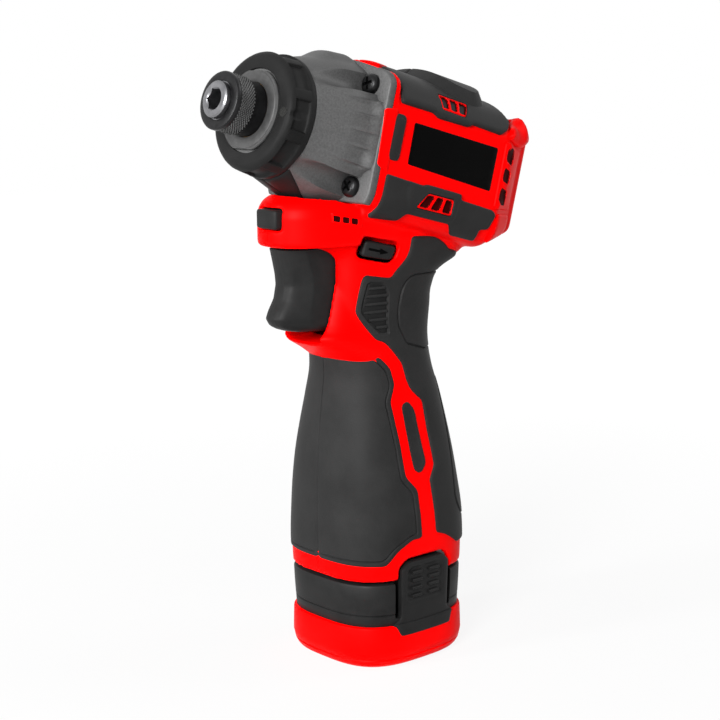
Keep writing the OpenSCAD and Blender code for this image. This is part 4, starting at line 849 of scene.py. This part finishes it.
rails = dict(
    upper=dict(outline=[(-50.6, 4.0), (-49.4, 17.0), (-44.5, 24.5), (-40.0, 30.0), (-38.6, 34.0),
                        (-49.8, 34.2), (-54.4, 31.0), (-54.4, 4.0)], top=2.7),
    lower=dict(outline=[(-40.4, 59.6), (-38.6, 66.0), (-39.0, 70.6), (-50.5, 70.6), (-51.8, 67.0),
                        (-51.6, 59.6)],
               top=1.1))
railForm = dict(foot=(0, -0.4), crown=[(0.2, 0.4), (0.8, 0.7), (1.8, 0.93), (3.0, 1.0)], radius=2.4,
                skirt=-3.2)


def ventSlots(outline):
    # slots of painted shade between the bars of a window, in the window's own slant
    a, b, c, d = [np.array(p) for p in outline]
    low, high, inset = window["gap"], 1 - window["gap"], window["margin"] / np.linalg.norm(a - d)
    made = []
    for k in range(window["slots"]):
        corners = []
        for t, v in ((low, inset), (high, inset), (high, 1 - inset), (low, 1 - inset)):
            t = (k + t) / window["slots"]
            corners.append((a * (1 - t) + b * t) * (1 - v) + (d * (1 - t) + c * t) * v)
        made.append(dict(window["slot"], outline=corners))
    return made


def railPanel(rail, side):
    profile = [railForm["foot"]] + [(inset, share * rail["top"]) for inset, share in railForm["crown"]]
    return panel("rail", headPoint, side, rail["outline"], profile, railForm["radius"],
                 skirt=railForm["skirt"])


for sideName, side in sides.items():
    bands = [panel("band", headPoint, side, **form) for form in (upperBand, lowerBand)]
    place(joinPieces("head_bands_soft_" + sideName, bands), "soft_grip", "housing",
          ["head_bands_" + sideName])
    for level in ("upper", "lower"):
        shadedPanel("vent_" + level + "_" + sideName, headPoint, side, outline=window[level],
                    features=ventSlots(window[level]), **window["form"])
    shadedPanel("vent_rear_" + sideName, headPoint, side, **rearVents)
    pair = [railPanel(rail, side) for rail in rails.values()]
    place(joinPieces("rear_rails_" + sideName, pair), "red_shell", "housing")
print("bands made")

padTop = [(12.4, 39.2), (9.6, 39.2), (9.6, 51.4), (12.4, 51.4)]
sidePlate = dict(outline=[(4.7, 38.9), (-34.8, 38.4), (-34.8, 53.2), (4.4, 52.6)],
                 profile=[(0, -0.4), (0.1, 0.05), (0.3, 0.12)], radius=0.5, step=2.0)
sidePad = dict(outline=[(13.4, 37.8), (8.6, 37.8), (8.6, 52.8), (13.4, 52.8)],
               profile=[(0, -0.3), (0.15, 0.45), (0.5, 0.6)], radius=2.0, step=0.8, fine=0.5,
               features=[dict(outline=padTop, rise=0.4, edge=0.4, radius=1.1)])
frontTongue = dict(outline=[(12.6, 36.4), (18.0, 37.4), (17.2, 55.4), (12.2, 57.2)],
                   profile=[(0, -0.3), (0.2, 0.25), (0.6, 0.4)], step=1.6)
topTab = dict(outline=[(11.8, 0.03), (11.8, 12.8), (3.2, 7.9), (3.2, 0.03)],
              profile=[(0, -0.4), (0.2, 0.6), (0.6, 1.2), (1.2, 1.4)], radius=0.8)
tabs = bothSides("tongue", headPoint, **frontTongue) + bothSides("tab", headPoint, **topTab)
place(joinPieces("front_tabs_red", tabs), "red_shell", "housing")
plates = bothSides("plate", headPoint, **sidePlate)
place(joinPieces("side_plates_bare", plates), "plate_black", "housing", ["name_plates"])
place(joinPieces("side_pads_soft", bothSides("pad", headPoint, **sidePad)), "soft_grip", "housing",
      ["side_pads"])

# battery: black band with its tower, red cap and the two latches

batteryForm = dict(
    cap=[(0.0, -2.4), (0.35, -1.3), (0.9, -0.6), (1.7, -0.2), (3.0, 0.0), (3.35, -0.3), (3.7, 0.0), (6, 0.25),
         (10, 0.5), (14.0, 0.75), (14.55, 0.6), (14.8, 0.1)],
    band=[(14.85, -0.5), (15.2, -0.25), (18.3, -0.2), (18.65, -0.6), (19.0, -0.15), (24, -0.1), (28.6, -0.15),
          (29.3, -0.5), (29.6, -1.4)],
    tower=dict(above=31.5, foot=28.0, crown=[(1.2, 1.0), (0.4, 0.985), (0.0, 0.95)]))
# room for the pressed latch
latchWell = dict(outline=[(26.0, 17.2), (26.0, 32.0), (45.4, 32.0), (45.4, 17.2)], profile=[(0, 3.0)],
                 radius=0.3, skirt=-4.2, step=2.0)
latchPad = [(30.0, 22.4), (30.0, 33.2), (31.2, 34.4), (39.8, 34.4), (41.0, 33.2), (41.0, 22.4)]
latch = dict(outline=[(27.9, 17.0), (27.9, 33.8), (30.4, 36.3), (41.0, 36.3), (43.5, 33.8), (43.6, 17.0),
                      (46.4, 15.0), (45.0, 10.8), (27.0, 10.6), (24.8, 14.6)],
             profile=[(0, -0.3), (0.15, 0.25), (0.5, 0.4), (1.0, 0.45)], radius=0.8, skirt=-2.2,
             features=[dict(outline=latchPad, rise=-0.5)])
latchFoot = dict(outline=[(25.4, 15.4), (27.6, 11.0), (44.2, 11.0), (46.0, 15.4)],
                 profile=[(0, 0.2), (0.1, 0.75), (0.4, 0.92)], radius=0.5)
latchRibs = dict(levels=[24.2, 26.9, 29.6, 32.3], columns=[(31.4, 34.6), (36.4, 39.6)], radius=0.6,
                 lift=0.22, points=6)


def towerMesh(node):
    # upright prism round all of a solid's points above a level
    tower = batteryForm["tower"]
    points = np.array([tuple(v.co) for v in frame["nodes"][node].data.vertices]) / mm
    points = points[points[:, 2] > tower["above"]]
    top = points[:, 2].max()
    work = bmesh.new()
    for x, y in np.unique(np.round(points[:, :2], 2), axis=0):
        work.verts.new((x, y, 0))
    bmesh.ops.convex_hull(work, input=work.verts)
    rim = np.array([tuple(v.co)[:2] for v in work.verts if v.link_edges])
    work.free()
    middle = rim.mean(0)
    rim = rim[np.argsort(np.arctan2(*(rim - middle).T[::-1]))]
    levels = [(tower["foot"], 1.0)] + [(top - under, share) for under, share in tower["crown"]]
    return loftPiece("tower", [np.column_stack([middle + (rim - middle) * share, np.full(len(rim), z)])
                               for z, share in levels])


cap = loftPiece("battery_cap_red", [handleRing(z, lift) for z, lift in batteryForm["cap"]])
place(cap, "red_shell", "battery", ["battery_cap"])
band = loftPiece("battery_band_black", [handleRing(z, lift) for z, lift in batteryForm["band"]])
for well in bothSides("well", handlePoint, **latchWell):
    combine(band, closed(well), "DIFFERENCE")
combine(band, towerMesh("battery_shell"), "UNION")
place(band, "black_plastic", "battery", ["battery_shell"])
for sideName, side in sides.items():
    body = "latch_" + sideName
    place(panel("latch_pad_" + sideName, handlePoint, side, **latch), "black_plastic", body, [body])
    place(panel("latch_foot_" + sideName, handlePoint, side, **latchFoot), "black_plastic", "battery")
    lines = [levelLine(a, b, z, latchRibs["lift"], side, latchRibs["points"])
             for z in latchRibs["levels"] for a, b in latchRibs["columns"]]
    ribs = bars("latch_ribs_" + sideName, lines, latchRibs["radius"], "black_plastic")
    place(ribs, "black_plastic", body)
print("battery made")

# trigger, direction selector, work light, charge gauge

triggerForm = dict(
    levels=[114.6, 115.4, 117.3, 119.4, 121.8, 125.4, 130.0, 133.5, 138.0, 142.5, 144.2],
    front=[38.0, 40.8, 43.4, 44.6, 43.5, 41.1, 40.0, 40.3, 41.2, 42.2, 42.4],
    crease=[30.0, 31.5, 33.4, 34.2, 33.9, 33.0, 32.6, 33.2, 34.6, 36.0, 36.4],
    across=[0, 0.2, 0.4, 0.52, 0.62, 0.78, 0.92, 0.98, 1],
    ahead=[1, 0.985, 0.93, 0.83, 0.69, 0.42, 0.16, 0.05, 0], back=19.6, corner=0.5, half=8.3, foot=1.8,
    footHigh=2.2, rings=np.concatenate([[114.6, 114.8, 115.2, 115.8], np.arange(116.4, 141.4, 0.7), [141.7]]))


def triggerRing(z, n=41):
    f = triggerForm
    inset = f["foot"] * max(0.0, 1 - (z - f["levels"][0]) / f["footHigh"]) ** 2
    front, crease = [np.interp(z, f["levels"], f[k]) - inset for k in ("front", "crease")]
    half, back, cut = f["half"] - inset, f["back"], f["corner"]
    a = np.linspace(-1, 1, n)
    nose = np.stack([crease + (front - crease) * np.interp(np.abs(a), f["across"], f["ahead"]), half * a], 1)
    rear = [(back + cut, half), (back, half - cut), (back, cut - half), (back + cut, -half)]
    plan = np.concatenate([nose, rear])
    return np.column_stack([plan, np.full(len(plan), z)])


trigger = loftPiece("trigger_moulded", [triggerRing(z) for z in triggerForm["rings"]])
place(trigger, "black_plastic", "trigger", ["trigger"], angle=42)

selectorPad = dict(outline=selector["pad"], profile=[(0, -0.6), (0.2, 0.1), (0.6, 0.4), (1.0, 0.5)],
                   radius=1.2, step=0.8, skirt=-3.2, fine=0.4)
selectorBar = ((8.6, -12.5, 139.6), (12.6, 12.5, 142.0))
arrow = dict(middle=(23.9, 140.3), slope=-0.31, lean=0.3,
             points=[(-3.0, -0.4), (0.4, -0.4), (0.4, -1.05), (3.0, 0), (0.4, 1.05), (0.4, 0.4), (-3.0, 0.4)],
             form=dict(profile=[(0, 0.5), (0.1, 0.55)], radius=0.12, step=0.6, skirt=0.2, fine=0.3))
arrowOutline = [(arrow["middle"][0] + u - v * arrow["slope"] * arrow["lean"],
                 arrow["middle"][1] + v + u * arrow["slope"]) for u, v in arrow["points"]]
pads = bothSides("selector", handlePoint, **selectorPad) + [boxMesh("selectorBar", *selectorBar)]
place(joinPieces("selector_pads", pads), "black_plastic", "selector", ["direction_selector"])
arrows = bothSides("arrow", handlePoint, outline=arrowOutline, **arrow["form"])
place(joinPieces("selector_arrows", arrows), "plate_black", "selector")

light = dict(box=((39.4, -5.0, 148.6), (45.75, 5.0, 154.8)), edge=0.9)
lightBlock = boxMesh("work_light_block", *light["box"])
bevelPiece(lightBlock, light["edge"])
place(lightBlock, "black_plastic", "housing", ["work_light_lens"])

gauge = dict(outline=[(31.8, 154.0), (21.0, 151.8), (21.0, 148.4), (31.8, 150.6)], slope=0.2,
             half=(1.05, 0.85), windows=[(24.0, 150.7), (27.1, 151.3), (30.2, 151.9)])
# the three gauge windows sink a little and take the same dark red as the vents' painted shade
gaugeMarks = [dict(rise=-0.3, edge=0.15, radius=0.2, shade=True,
                   outline=[(x + u * gauge["half"][0], z + gauge["slope"] * u + v * gauge["half"][1])
                            for u, v in ((-1, -1), (1, -1), (1, 1), (-1, 1))]) for x, z in gauge["windows"]]
shadedPanel("gauge_frame", chinPoint, 1, ["gauge_lenses"], outline=gauge["outline"], features=gaugeMarks,
            profile=[(0, -0.3), (0.15, 0.2), (0.4, 0.35)], radius=0.4, step=0.6, fine=0.3)
print("controls made")

# gear case, bumper, nose ring, bit sleeve, case screws

caseShape = dict(
    stations=[12.0, 27.6, 40.4], radii=[24.8, 23.4, 19.5], blend=2.0, sides=432, flangeAt=16.0, face=18.0,
    corner=(17.0, 16.5), scoop=4.3, soft=0.5,
    ridge=dict(high=1.8, half=6.5, start=14.5, end=27.0, fade=6.0),
    ribs=dict(bearings=[-25, -13, -1, 11, 23], high=0.9, wide=0.5, start=14.0, rise=1.0, end=22.0, fall=14.0),
    shoulder=dict(long=4.0, half=30, fade=12, inset=0.5),
    spigot=[(12.05, 21.5), (15.24, 21.5)],
    rim=[(15.25, 0.15), (15.4, 0.0), (17.3, 0.0), (17.7, 0.15), (17.9, 0.35), (18.0, 0.7)],
    cone=np.append(np.arange(18.05, 40.2, 0.55), 40.38),
    bore=[(40.4, 17.2), (49.4, 17.2), (49.4, 9.35), (44.2, 9.35), (44.2, 15.3), (40.1, 15.3), (40.1, 16.9),
          (18.5, 16.9), (18.5, 19.32), (12.05, 19.32)])


def bearingFrom(turns, degrees):
    return (np.degrees(turns) - degrees + 180) % 360 - 180


def cornerHit(turns, radius):
    # distance along each bearing to the near side of the corner boss
    a, b = np.abs(np.sin(turns)), np.abs(np.cos(turns))
    cy, ch = caseShape["corner"]
    on = a * cy + b * ch
    under = on ** 2 - (cy ** 2 + ch ** 2 - radius ** 2)
    return np.where(under > 0, on - np.sqrt(np.maximum(under, 0)), np.nan)


def flangeBend(s, inset, turns):
    # the head's own outline, by bearing from the axis
    ring = headRing(caseShape["flangeAt"], 0.0, 720, flangePoint) - axisStart
    y, h = ring @ axisSide, ring @ axisUp
    return np.interp(turns, np.arctan2(y, h) % (2 * math.pi), np.hypot(y, h), period=2 * math.pi) - inset


def coneBend(s, r, turns):
    f = caseShape
    near = np.linspace(-f["blend"], f["blend"], 9)
    cone = np.mean([np.interp(s + d, f["stations"], f["radii"]) for d in near])
    radius = np.full(len(turns), cone)
    # low ridge along the top
    ridge = f["ridge"]
    across = np.exp(-(np.radians(bearingFrom(turns, 0)) * cone / ridge["half"]) ** 4)
    run = ease((s - ridge["start"]) / ridge["fade"]) * (1 - ease((s - ridge["end"]) / ridge["fade"]))
    radius += ridge["high"] * across * run
    ribs, shoulder = f["ribs"], f["shoulder"]
    run = ease((s - ribs["start"]) / ribs["rise"]) * (1 - ease((s - ribs["end"]) / ribs["fall"]))
    for bearing in [side + rib for rib in ribs["bearings"] for side in (90, 270)]:
        gap = np.radians(bearingFrom(turns, bearing)) * cone / ribs["wide"]
        radius += ribs["high"] * run * np.exp(-gap ** 2)
    # the flange runs out into the cone between the corner bosses
    run = 1 - ease((s - f["face"]) / shoulder["long"])
    for side in (90, 270):
        between = ease((shoulder["half"] - np.abs(bearingFrom(turns, side))) / shoulder["fade"]) * run
        radius = radius + np.maximum(flangeBend(s, shoulder["inset"], turns) - radius, 0) * between
    dip, soft = cornerHit(turns, f["scoop"]), f["soft"]
    scooped = np.exp(-radius / soft) + np.exp(-np.nan_to_num(dip, nan=99.0) / soft)
    return np.where(np.isnan(dip), radius, -soft * np.log(scooped))


n = caseShape["sides"]
rings = lathe(caseShape["spigot"], n) + lathe(caseShape["rim"], n, flangeBend)
rings += lathe([(s, 0) for s in caseShape["cone"]], n, coneBend) + lathe(caseShape["bore"], n)
gearCase = makeMesh("gear_case_cast", *loft(rings, endless=True))
place(gearCase, "case_alloy", "housing", ["gear_case"], angle=45)

bumper = dict(
    outer=[(40.5, 19.3), (40.8, 19.8), (42.2, 19.85), (42.5, 19.7), (42.6, 19.7), (43.2, 19.65), (45.0, 19.5),
           (47.0, 19.3), (47.9, 19.15), (48.3, 19.1), (48.4, 19.1), (48.9, 18.9), (49.6, 18.4), (50.1, 17.7),
           (50.3, 16.9)],
    inner=[(50.3, 14.4), (50.1, 13.6), (49.5, 13.4), (49.5, 17.3), (40.5, 17.3)], sides=360, sideR=18.0,
    recess=dict(count=9, phase=0.25, half=0.38, soft=0.03, deep=0.95, start=42.5, end=48.2, fade=0.2),
    hollow=dict(station=46.6, long=2.6, half=1.7, deep=0.8, reach=1.3))


def bumperBend(s, r, turns):
    if r <= bumper["sideR"]:
        return np.full(len(turns), float(r))
    f = bumper["recess"]
    gap = (turns * f["count"] / (2 * math.pi) + f["phase"]) % 1
    recess = ease((f["half"] - np.abs(gap - 0.5)) / f["soft"])
    run = ease((s - f["start"]) / f["fade"]) * (1 - ease((s - f["end"]) / f["fade"]))
    radius = r - f["deep"] * recess * run
    # hollow behind the small light on each side
    f = bumper["hollow"]
    for side in (0.5, 1.5):
        away = ((turns - side * math.pi) * r / f["half"]) ** 2 + ((s - f["station"]) / f["long"]) ** 2
        radius = radius - f["deep"] * ease(f["reach"] - away)
    return radius


def latheRing(name, profile, n, bend=None):
    # a closed profile turned into a ring, without end faces
    return makeMesh(name, *loft(lathe(profile, n, bend), endless=True))


noseBumper = latheRing("nose_bumper_soft", bumper["outer"] + bumper["inner"], bumper["sides"], bumperBend)
place(noseBumper, "nose_rubber", "housing", ["nose_bumper"])

# rubber skirt under the case, down to the chin
skirtGirth = 20.5
skirt = dict(outline=[(40.55, 0.03), (40.55, 13.5), (37.0, 11.0), (30.0, 6.6), (25.0, 3.6), (24.0, 0.03)],
             profile=[(0, -0.3), (0.2, 0.3), (0.6, 0.5)], radius=0.8)


def skirtPoint(s, g, lift=0.0):
    turn = math.pi - np.asarray(g, float) / skirtGirth
    radius = np.interp(s, caseShape["stations"], caseShape["radii"]) + np.asarray(lift, float)
    return onAxis(np.asarray(s, float), radius * np.sin(turn), radius * np.cos(turn))


place(joinPieces("nose_skirt_soft", bothSides("skirt", skirtPoint, **skirt)), "nose_rubber", "housing")

noseRing = dict(profile=[(49.55, 8.8), (49.55, 13.1), (50.6, 13.25), (50.9, 13.05), (50.95, 12.5),
                         (51.2, 12.35), (51.3, 12.1), (51.3, 9.2), (51.1, 8.8)], sides=192, flat=12.4)


def noseBend(s, r, turns):
    # a flat at the top and the bottom
    return np.minimum(r, noseRing["flat"] / np.maximum(np.abs(np.cos(turns)), 1e-6))


ringPiece = latheRing("nose_ring_turned", noseRing["profile"], noseRing["sides"], noseBend)
place(ringPiece, "ring_steel", "housing", ["nose_ring"])

sleeveForm = dict(
    outer=[(50.75, 8.3), (51.1, 8.65), (54.6, 8.65), (55.3, 8.7), (55.8, 9.0), (56.0, 9.05), (61.5, 9.05),
           (61.7, 9.0), (61.9, 9.25), (62.1, 9.3), (62.8, 9.3), (63.2, 9.05), (63.4, 8.5)],
    inner=[(63.4, 6.6), (63.2, 6.2), (62.95, 6.2), (62.95, 7.7), (56.8, 7.7), (56.8, 5.9), (53.4, 5.9),
           (53.4, 6.6), (50.75, 6.6)],
    sides=128, around=48, rows=12, first=56.4, last=61.1, toothR=8.98)
toothForm = dict(long=0.62, wide=0.66, foot=-0.15, high=0.36, flat=0.12)


def toothMesh():
    # a four-sided point with a small flat, lying on its foot
    t = toothForm
    verts = [(x, y, z) for l, w, z in ((t["long"], t["wide"], t["foot"]), (t["flat"], t["flat"], t["high"]))
             for x, y in ((-l, 0), (0, -w), (l, 0), (0, w))]
    faces = [(3, 2, 1, 0), (4, 5, 6, 7), (0, 1, 5, 4), (1, 2, 6, 5), (2, 3, 7, 6), (3, 0, 4, 7)]
    return closed(makeMesh("tooth", verts, faces))


def knurlSpots():
    # staggered rows round the sleeve, each tooth pointing outwards
    f, places, turns = sleeveForm, [], []
    ahead = Vector(axisAlong)
    for row, s in enumerate(np.linspace(f["first"], f["last"], f["rows"])):
        for k in range(f["around"]):
            a = 2 * math.pi * (k + 0.5 * (row % 2)) / f["around"]
            places.append(onAxis(s, f["toothR"] * math.sin(a), f["toothR"] * math.cos(a)))
            out = Vector(axisSide * math.sin(a) + axisUp * math.cos(a))
            turns.append(Matrix([ahead, out.cross(ahead), out]).transposed().to_euler())
    return places, turns


sleeve = closed(latheRing("bit_sleeve_turned", sleeveForm["outer"] + sleeveForm["inner"],
                          sleeveForm["sides"]))
knurl = spots("bit_sleeve_knurl", toothMesh(), *knurlSpots(), "ring_steel")
place(sleeve, "black_steel", "sleeve", ["bit_sleeve"])
place(knurl, "ring_steel", "sleeve")

screw = dict(head=3.4, high=2.4, shank=1.7, long=11.9, seat=0.02, sides=48, firstTurn=0.4,
             crown=[(1, 0.45), (0.93, 0.75), (0.74, 0.95), (0.5, 1)], cross=(0.62, 0.15), crossFloor=0.35)


def screwMesh():
    # pan head with a cross recess, along Z from the seat
    r, high = screw["head"], screw["high"]
    turns = np.linspace(0, 2 * math.pi, screw["sides"], endpoint=False)
    outline = [(screw["shank"], -screw["long"]), (screw["shank"], 0.0), (r, screw["seat"])]
    outline += [(r * wide, high * up) for wide, up in screw["crown"]]
    body = loftPiece("screw", [np.stack([w * np.cos(turns), w * np.sin(turns), np.full(len(turns), z)], 1)
                               for w, z in outline])
    l, w = [r * share for share in screw["cross"]]
    for x, y in ((l, w), (w, l)):
        cross = boxMesh("cross", (-x, -y, high * screw["crossFloor"]), (x, y, high * 2))
        combine(body, closed(cross), "DIFFERENCE")
    return body


cy, ch = caseShape["corner"]
screwPlaces = [onAxis(caseShape["face"], y, h) for y in (-cy, cy) for h in (-ch, ch)]
screwTurns = [axisTurn(screw["firstTurn"] + k) for k in range(len(screwPlaces))]
screws = spots("case_screws_pan", screwMesh(), screwPlaces, screwTurns, "black_steel")
place(screws, "black_steel", "housing", ["case_screws"])
print("front made")

# stage, light and camera

paper = dict(reach=1500, thick=4, colour="#D2D2D2", rough=0.9, strength=1.02, fade=(0.1, 0.45), near=0.88)
roomLight = 0.1
lamps = dict(
    key=dict(place=(1.2, 0.64, 0.62), size=(0.45, 0.6), watts=32.0),
    strip=dict(place=(1.3, -0.3, 0.5), size=(0.22, 0.7), watts=14.0),
    rim=dict(place=(-0.9, 0.5, 0.9), size=(0.5, 0.5), watts=4.0),
)
lampAim = Vector((0.0, 0.0, 0.11))
photoCamera = dict(azimuth=48.2, elevation=10.7, distance=598.9, target=(2.2, 0.0, 103.0), focalPixels=1773.8,
                   imagePixels=720.0, centre=(369.4, 352.7), roll=-0.6, sensor=36.0, clip=(0.05, 20))


def seenRays(tree):
    # 1 for what the camera sees, by itself, in a reflection or through a clear piece
    rays = addNode(tree, "ShaderNodeLightPath").outputs
    seen = rays["Is Camera Ray"]
    for kind in ("Is Glossy Ray", "Is Transmission Ray"):
        seen = addNode(tree, "ShaderNodeMath", links={0: seen, 1: rays[kind]}, operation="MAXIMUM").outputs[0]
    return seen


def makePaper():
    # seamless paper sweep: white, with the shadow kept
    material = bpy.data.materials.new("whitePaper")
    material.use_nodes = True
    tree = material.node_tree
    shader = tree.nodes["Principled BSDF"]
    shader.inputs["Base Color"].default_value = hexColour(paper["colour"])
    shader.inputs["Roughness"].default_value = paper["rough"]
    glow = addNode(tree, "ShaderNodeEmission", {"Color": (1, 1, 1, 1), "Strength": paper["strength"]})
    spot = addNode(tree, "ShaderNodeTexCoord").outputs["Object"]
    far = addNode(tree, "ShaderNodeVectorMath", links={0: spot}, operation="LENGTH").outputs["Value"]
    low, high = paper["fade"]
    plain = addNode(tree, "ShaderNodeMapRange",
                    {"From Min": low, "From Max": high, "To Min": paper["near"], "To Max": 1.0},
                    {"Value": far})
    share = addNode(tree, "ShaderNodeMath", links={0: seenRays(tree), 1: plain.outputs["Result"]},
                    operation="MULTIPLY")
    mixed = addNode(tree, "ShaderNodeMixShader",
                    links={0: share.outputs[0], 1: shader.outputs[0], 2: glow.outputs[0]})
    tree.links.new(mixed.outputs[0], tree.nodes["Material Output"].inputs["Surface"])
    return material


def makeRoom():
    world = bpy.data.worlds.new("studio")
    bpy.context.scene.world = world
    world.use_nodes = True
    tree = world.node_tree
    room = tree.nodes["Background"]
    room.inputs["Color"].default_value = (1, 1, 1, 1)
    strength = addNode(tree, "ShaderNodeMapRange", {"To Min": roomLight, "To Max": 1.0},
                       {"Value": seenRays(tree)})
    tree.links.new(strength.outputs["Result"], room.inputs["Strength"])


def makeLamp(name, lamp):
    data = bpy.data.lights.new(name, "AREA")
    data.shape, data.energy = "RECTANGLE", lamp["watts"]
    data.size, data.size_y = lamp["size"]
    made = addObject(name, data)
    made.location = lamp["place"]
    made.rotation_euler = (lampAim - Vector(lamp["place"])).to_track_quat("-Z", "Y").to_euler()


def makeCamera():
    c = photoCamera
    a, e, r = (math.radians(c[k]) for k in ("azimuth", "elevation", "roll"))
    back = Vector((math.cos(a) * math.cos(e), math.sin(a) * math.cos(e), math.sin(e)))
    right = Vector((0, 0, 1)).cross(back).normalized()
    up = back.cross(right)
    right, up = right * math.cos(r) + up * math.sin(r), up * math.cos(r) - right * math.sin(r)
    data = bpy.data.cameras.new("camera")
    data.sensor_width = c["sensor"]
    data.lens = c["sensor"] * c["focalPixels"] / c["imagePixels"]
    data.clip_start, data.clip_end = c["clip"]
    camera = addObject("camera", data)
    # the lens points through the middle of the frame, so no shift is needed
    offset = [(c["imagePixels"] / 2 - p) / c["focalPixels"] for p in c["centre"]]
    axis = (-back + right * offset[0] - up * offset[1]).normalized()
    flat = (right + axis * -right.dot(axis)).normalized()
    upright = flat.cross(axis)
    spot = (Vector(c["target"]) + back * c["distance"]) * mm
    rows = [[flat[i], upright[i], -axis[i], spot[i]] for i in range(3)]
    camera.matrix_world = Matrix(rows + [[0, 0, 0, 1]])
    bpy.context.scene.camera = camera


reach = paper["reach"]
floor = boxMesh("floor", (-reach, -reach, -paper["thick"]), (reach, reach, 0))
floor.data.materials.append(makePaper())
makeRoom()
for name, lamp in lamps.items():
    makeLamp(name, lamp)
makeCamera()
bpy.context.scene.view_settings.view_transform = "Standard"
print("stage made")
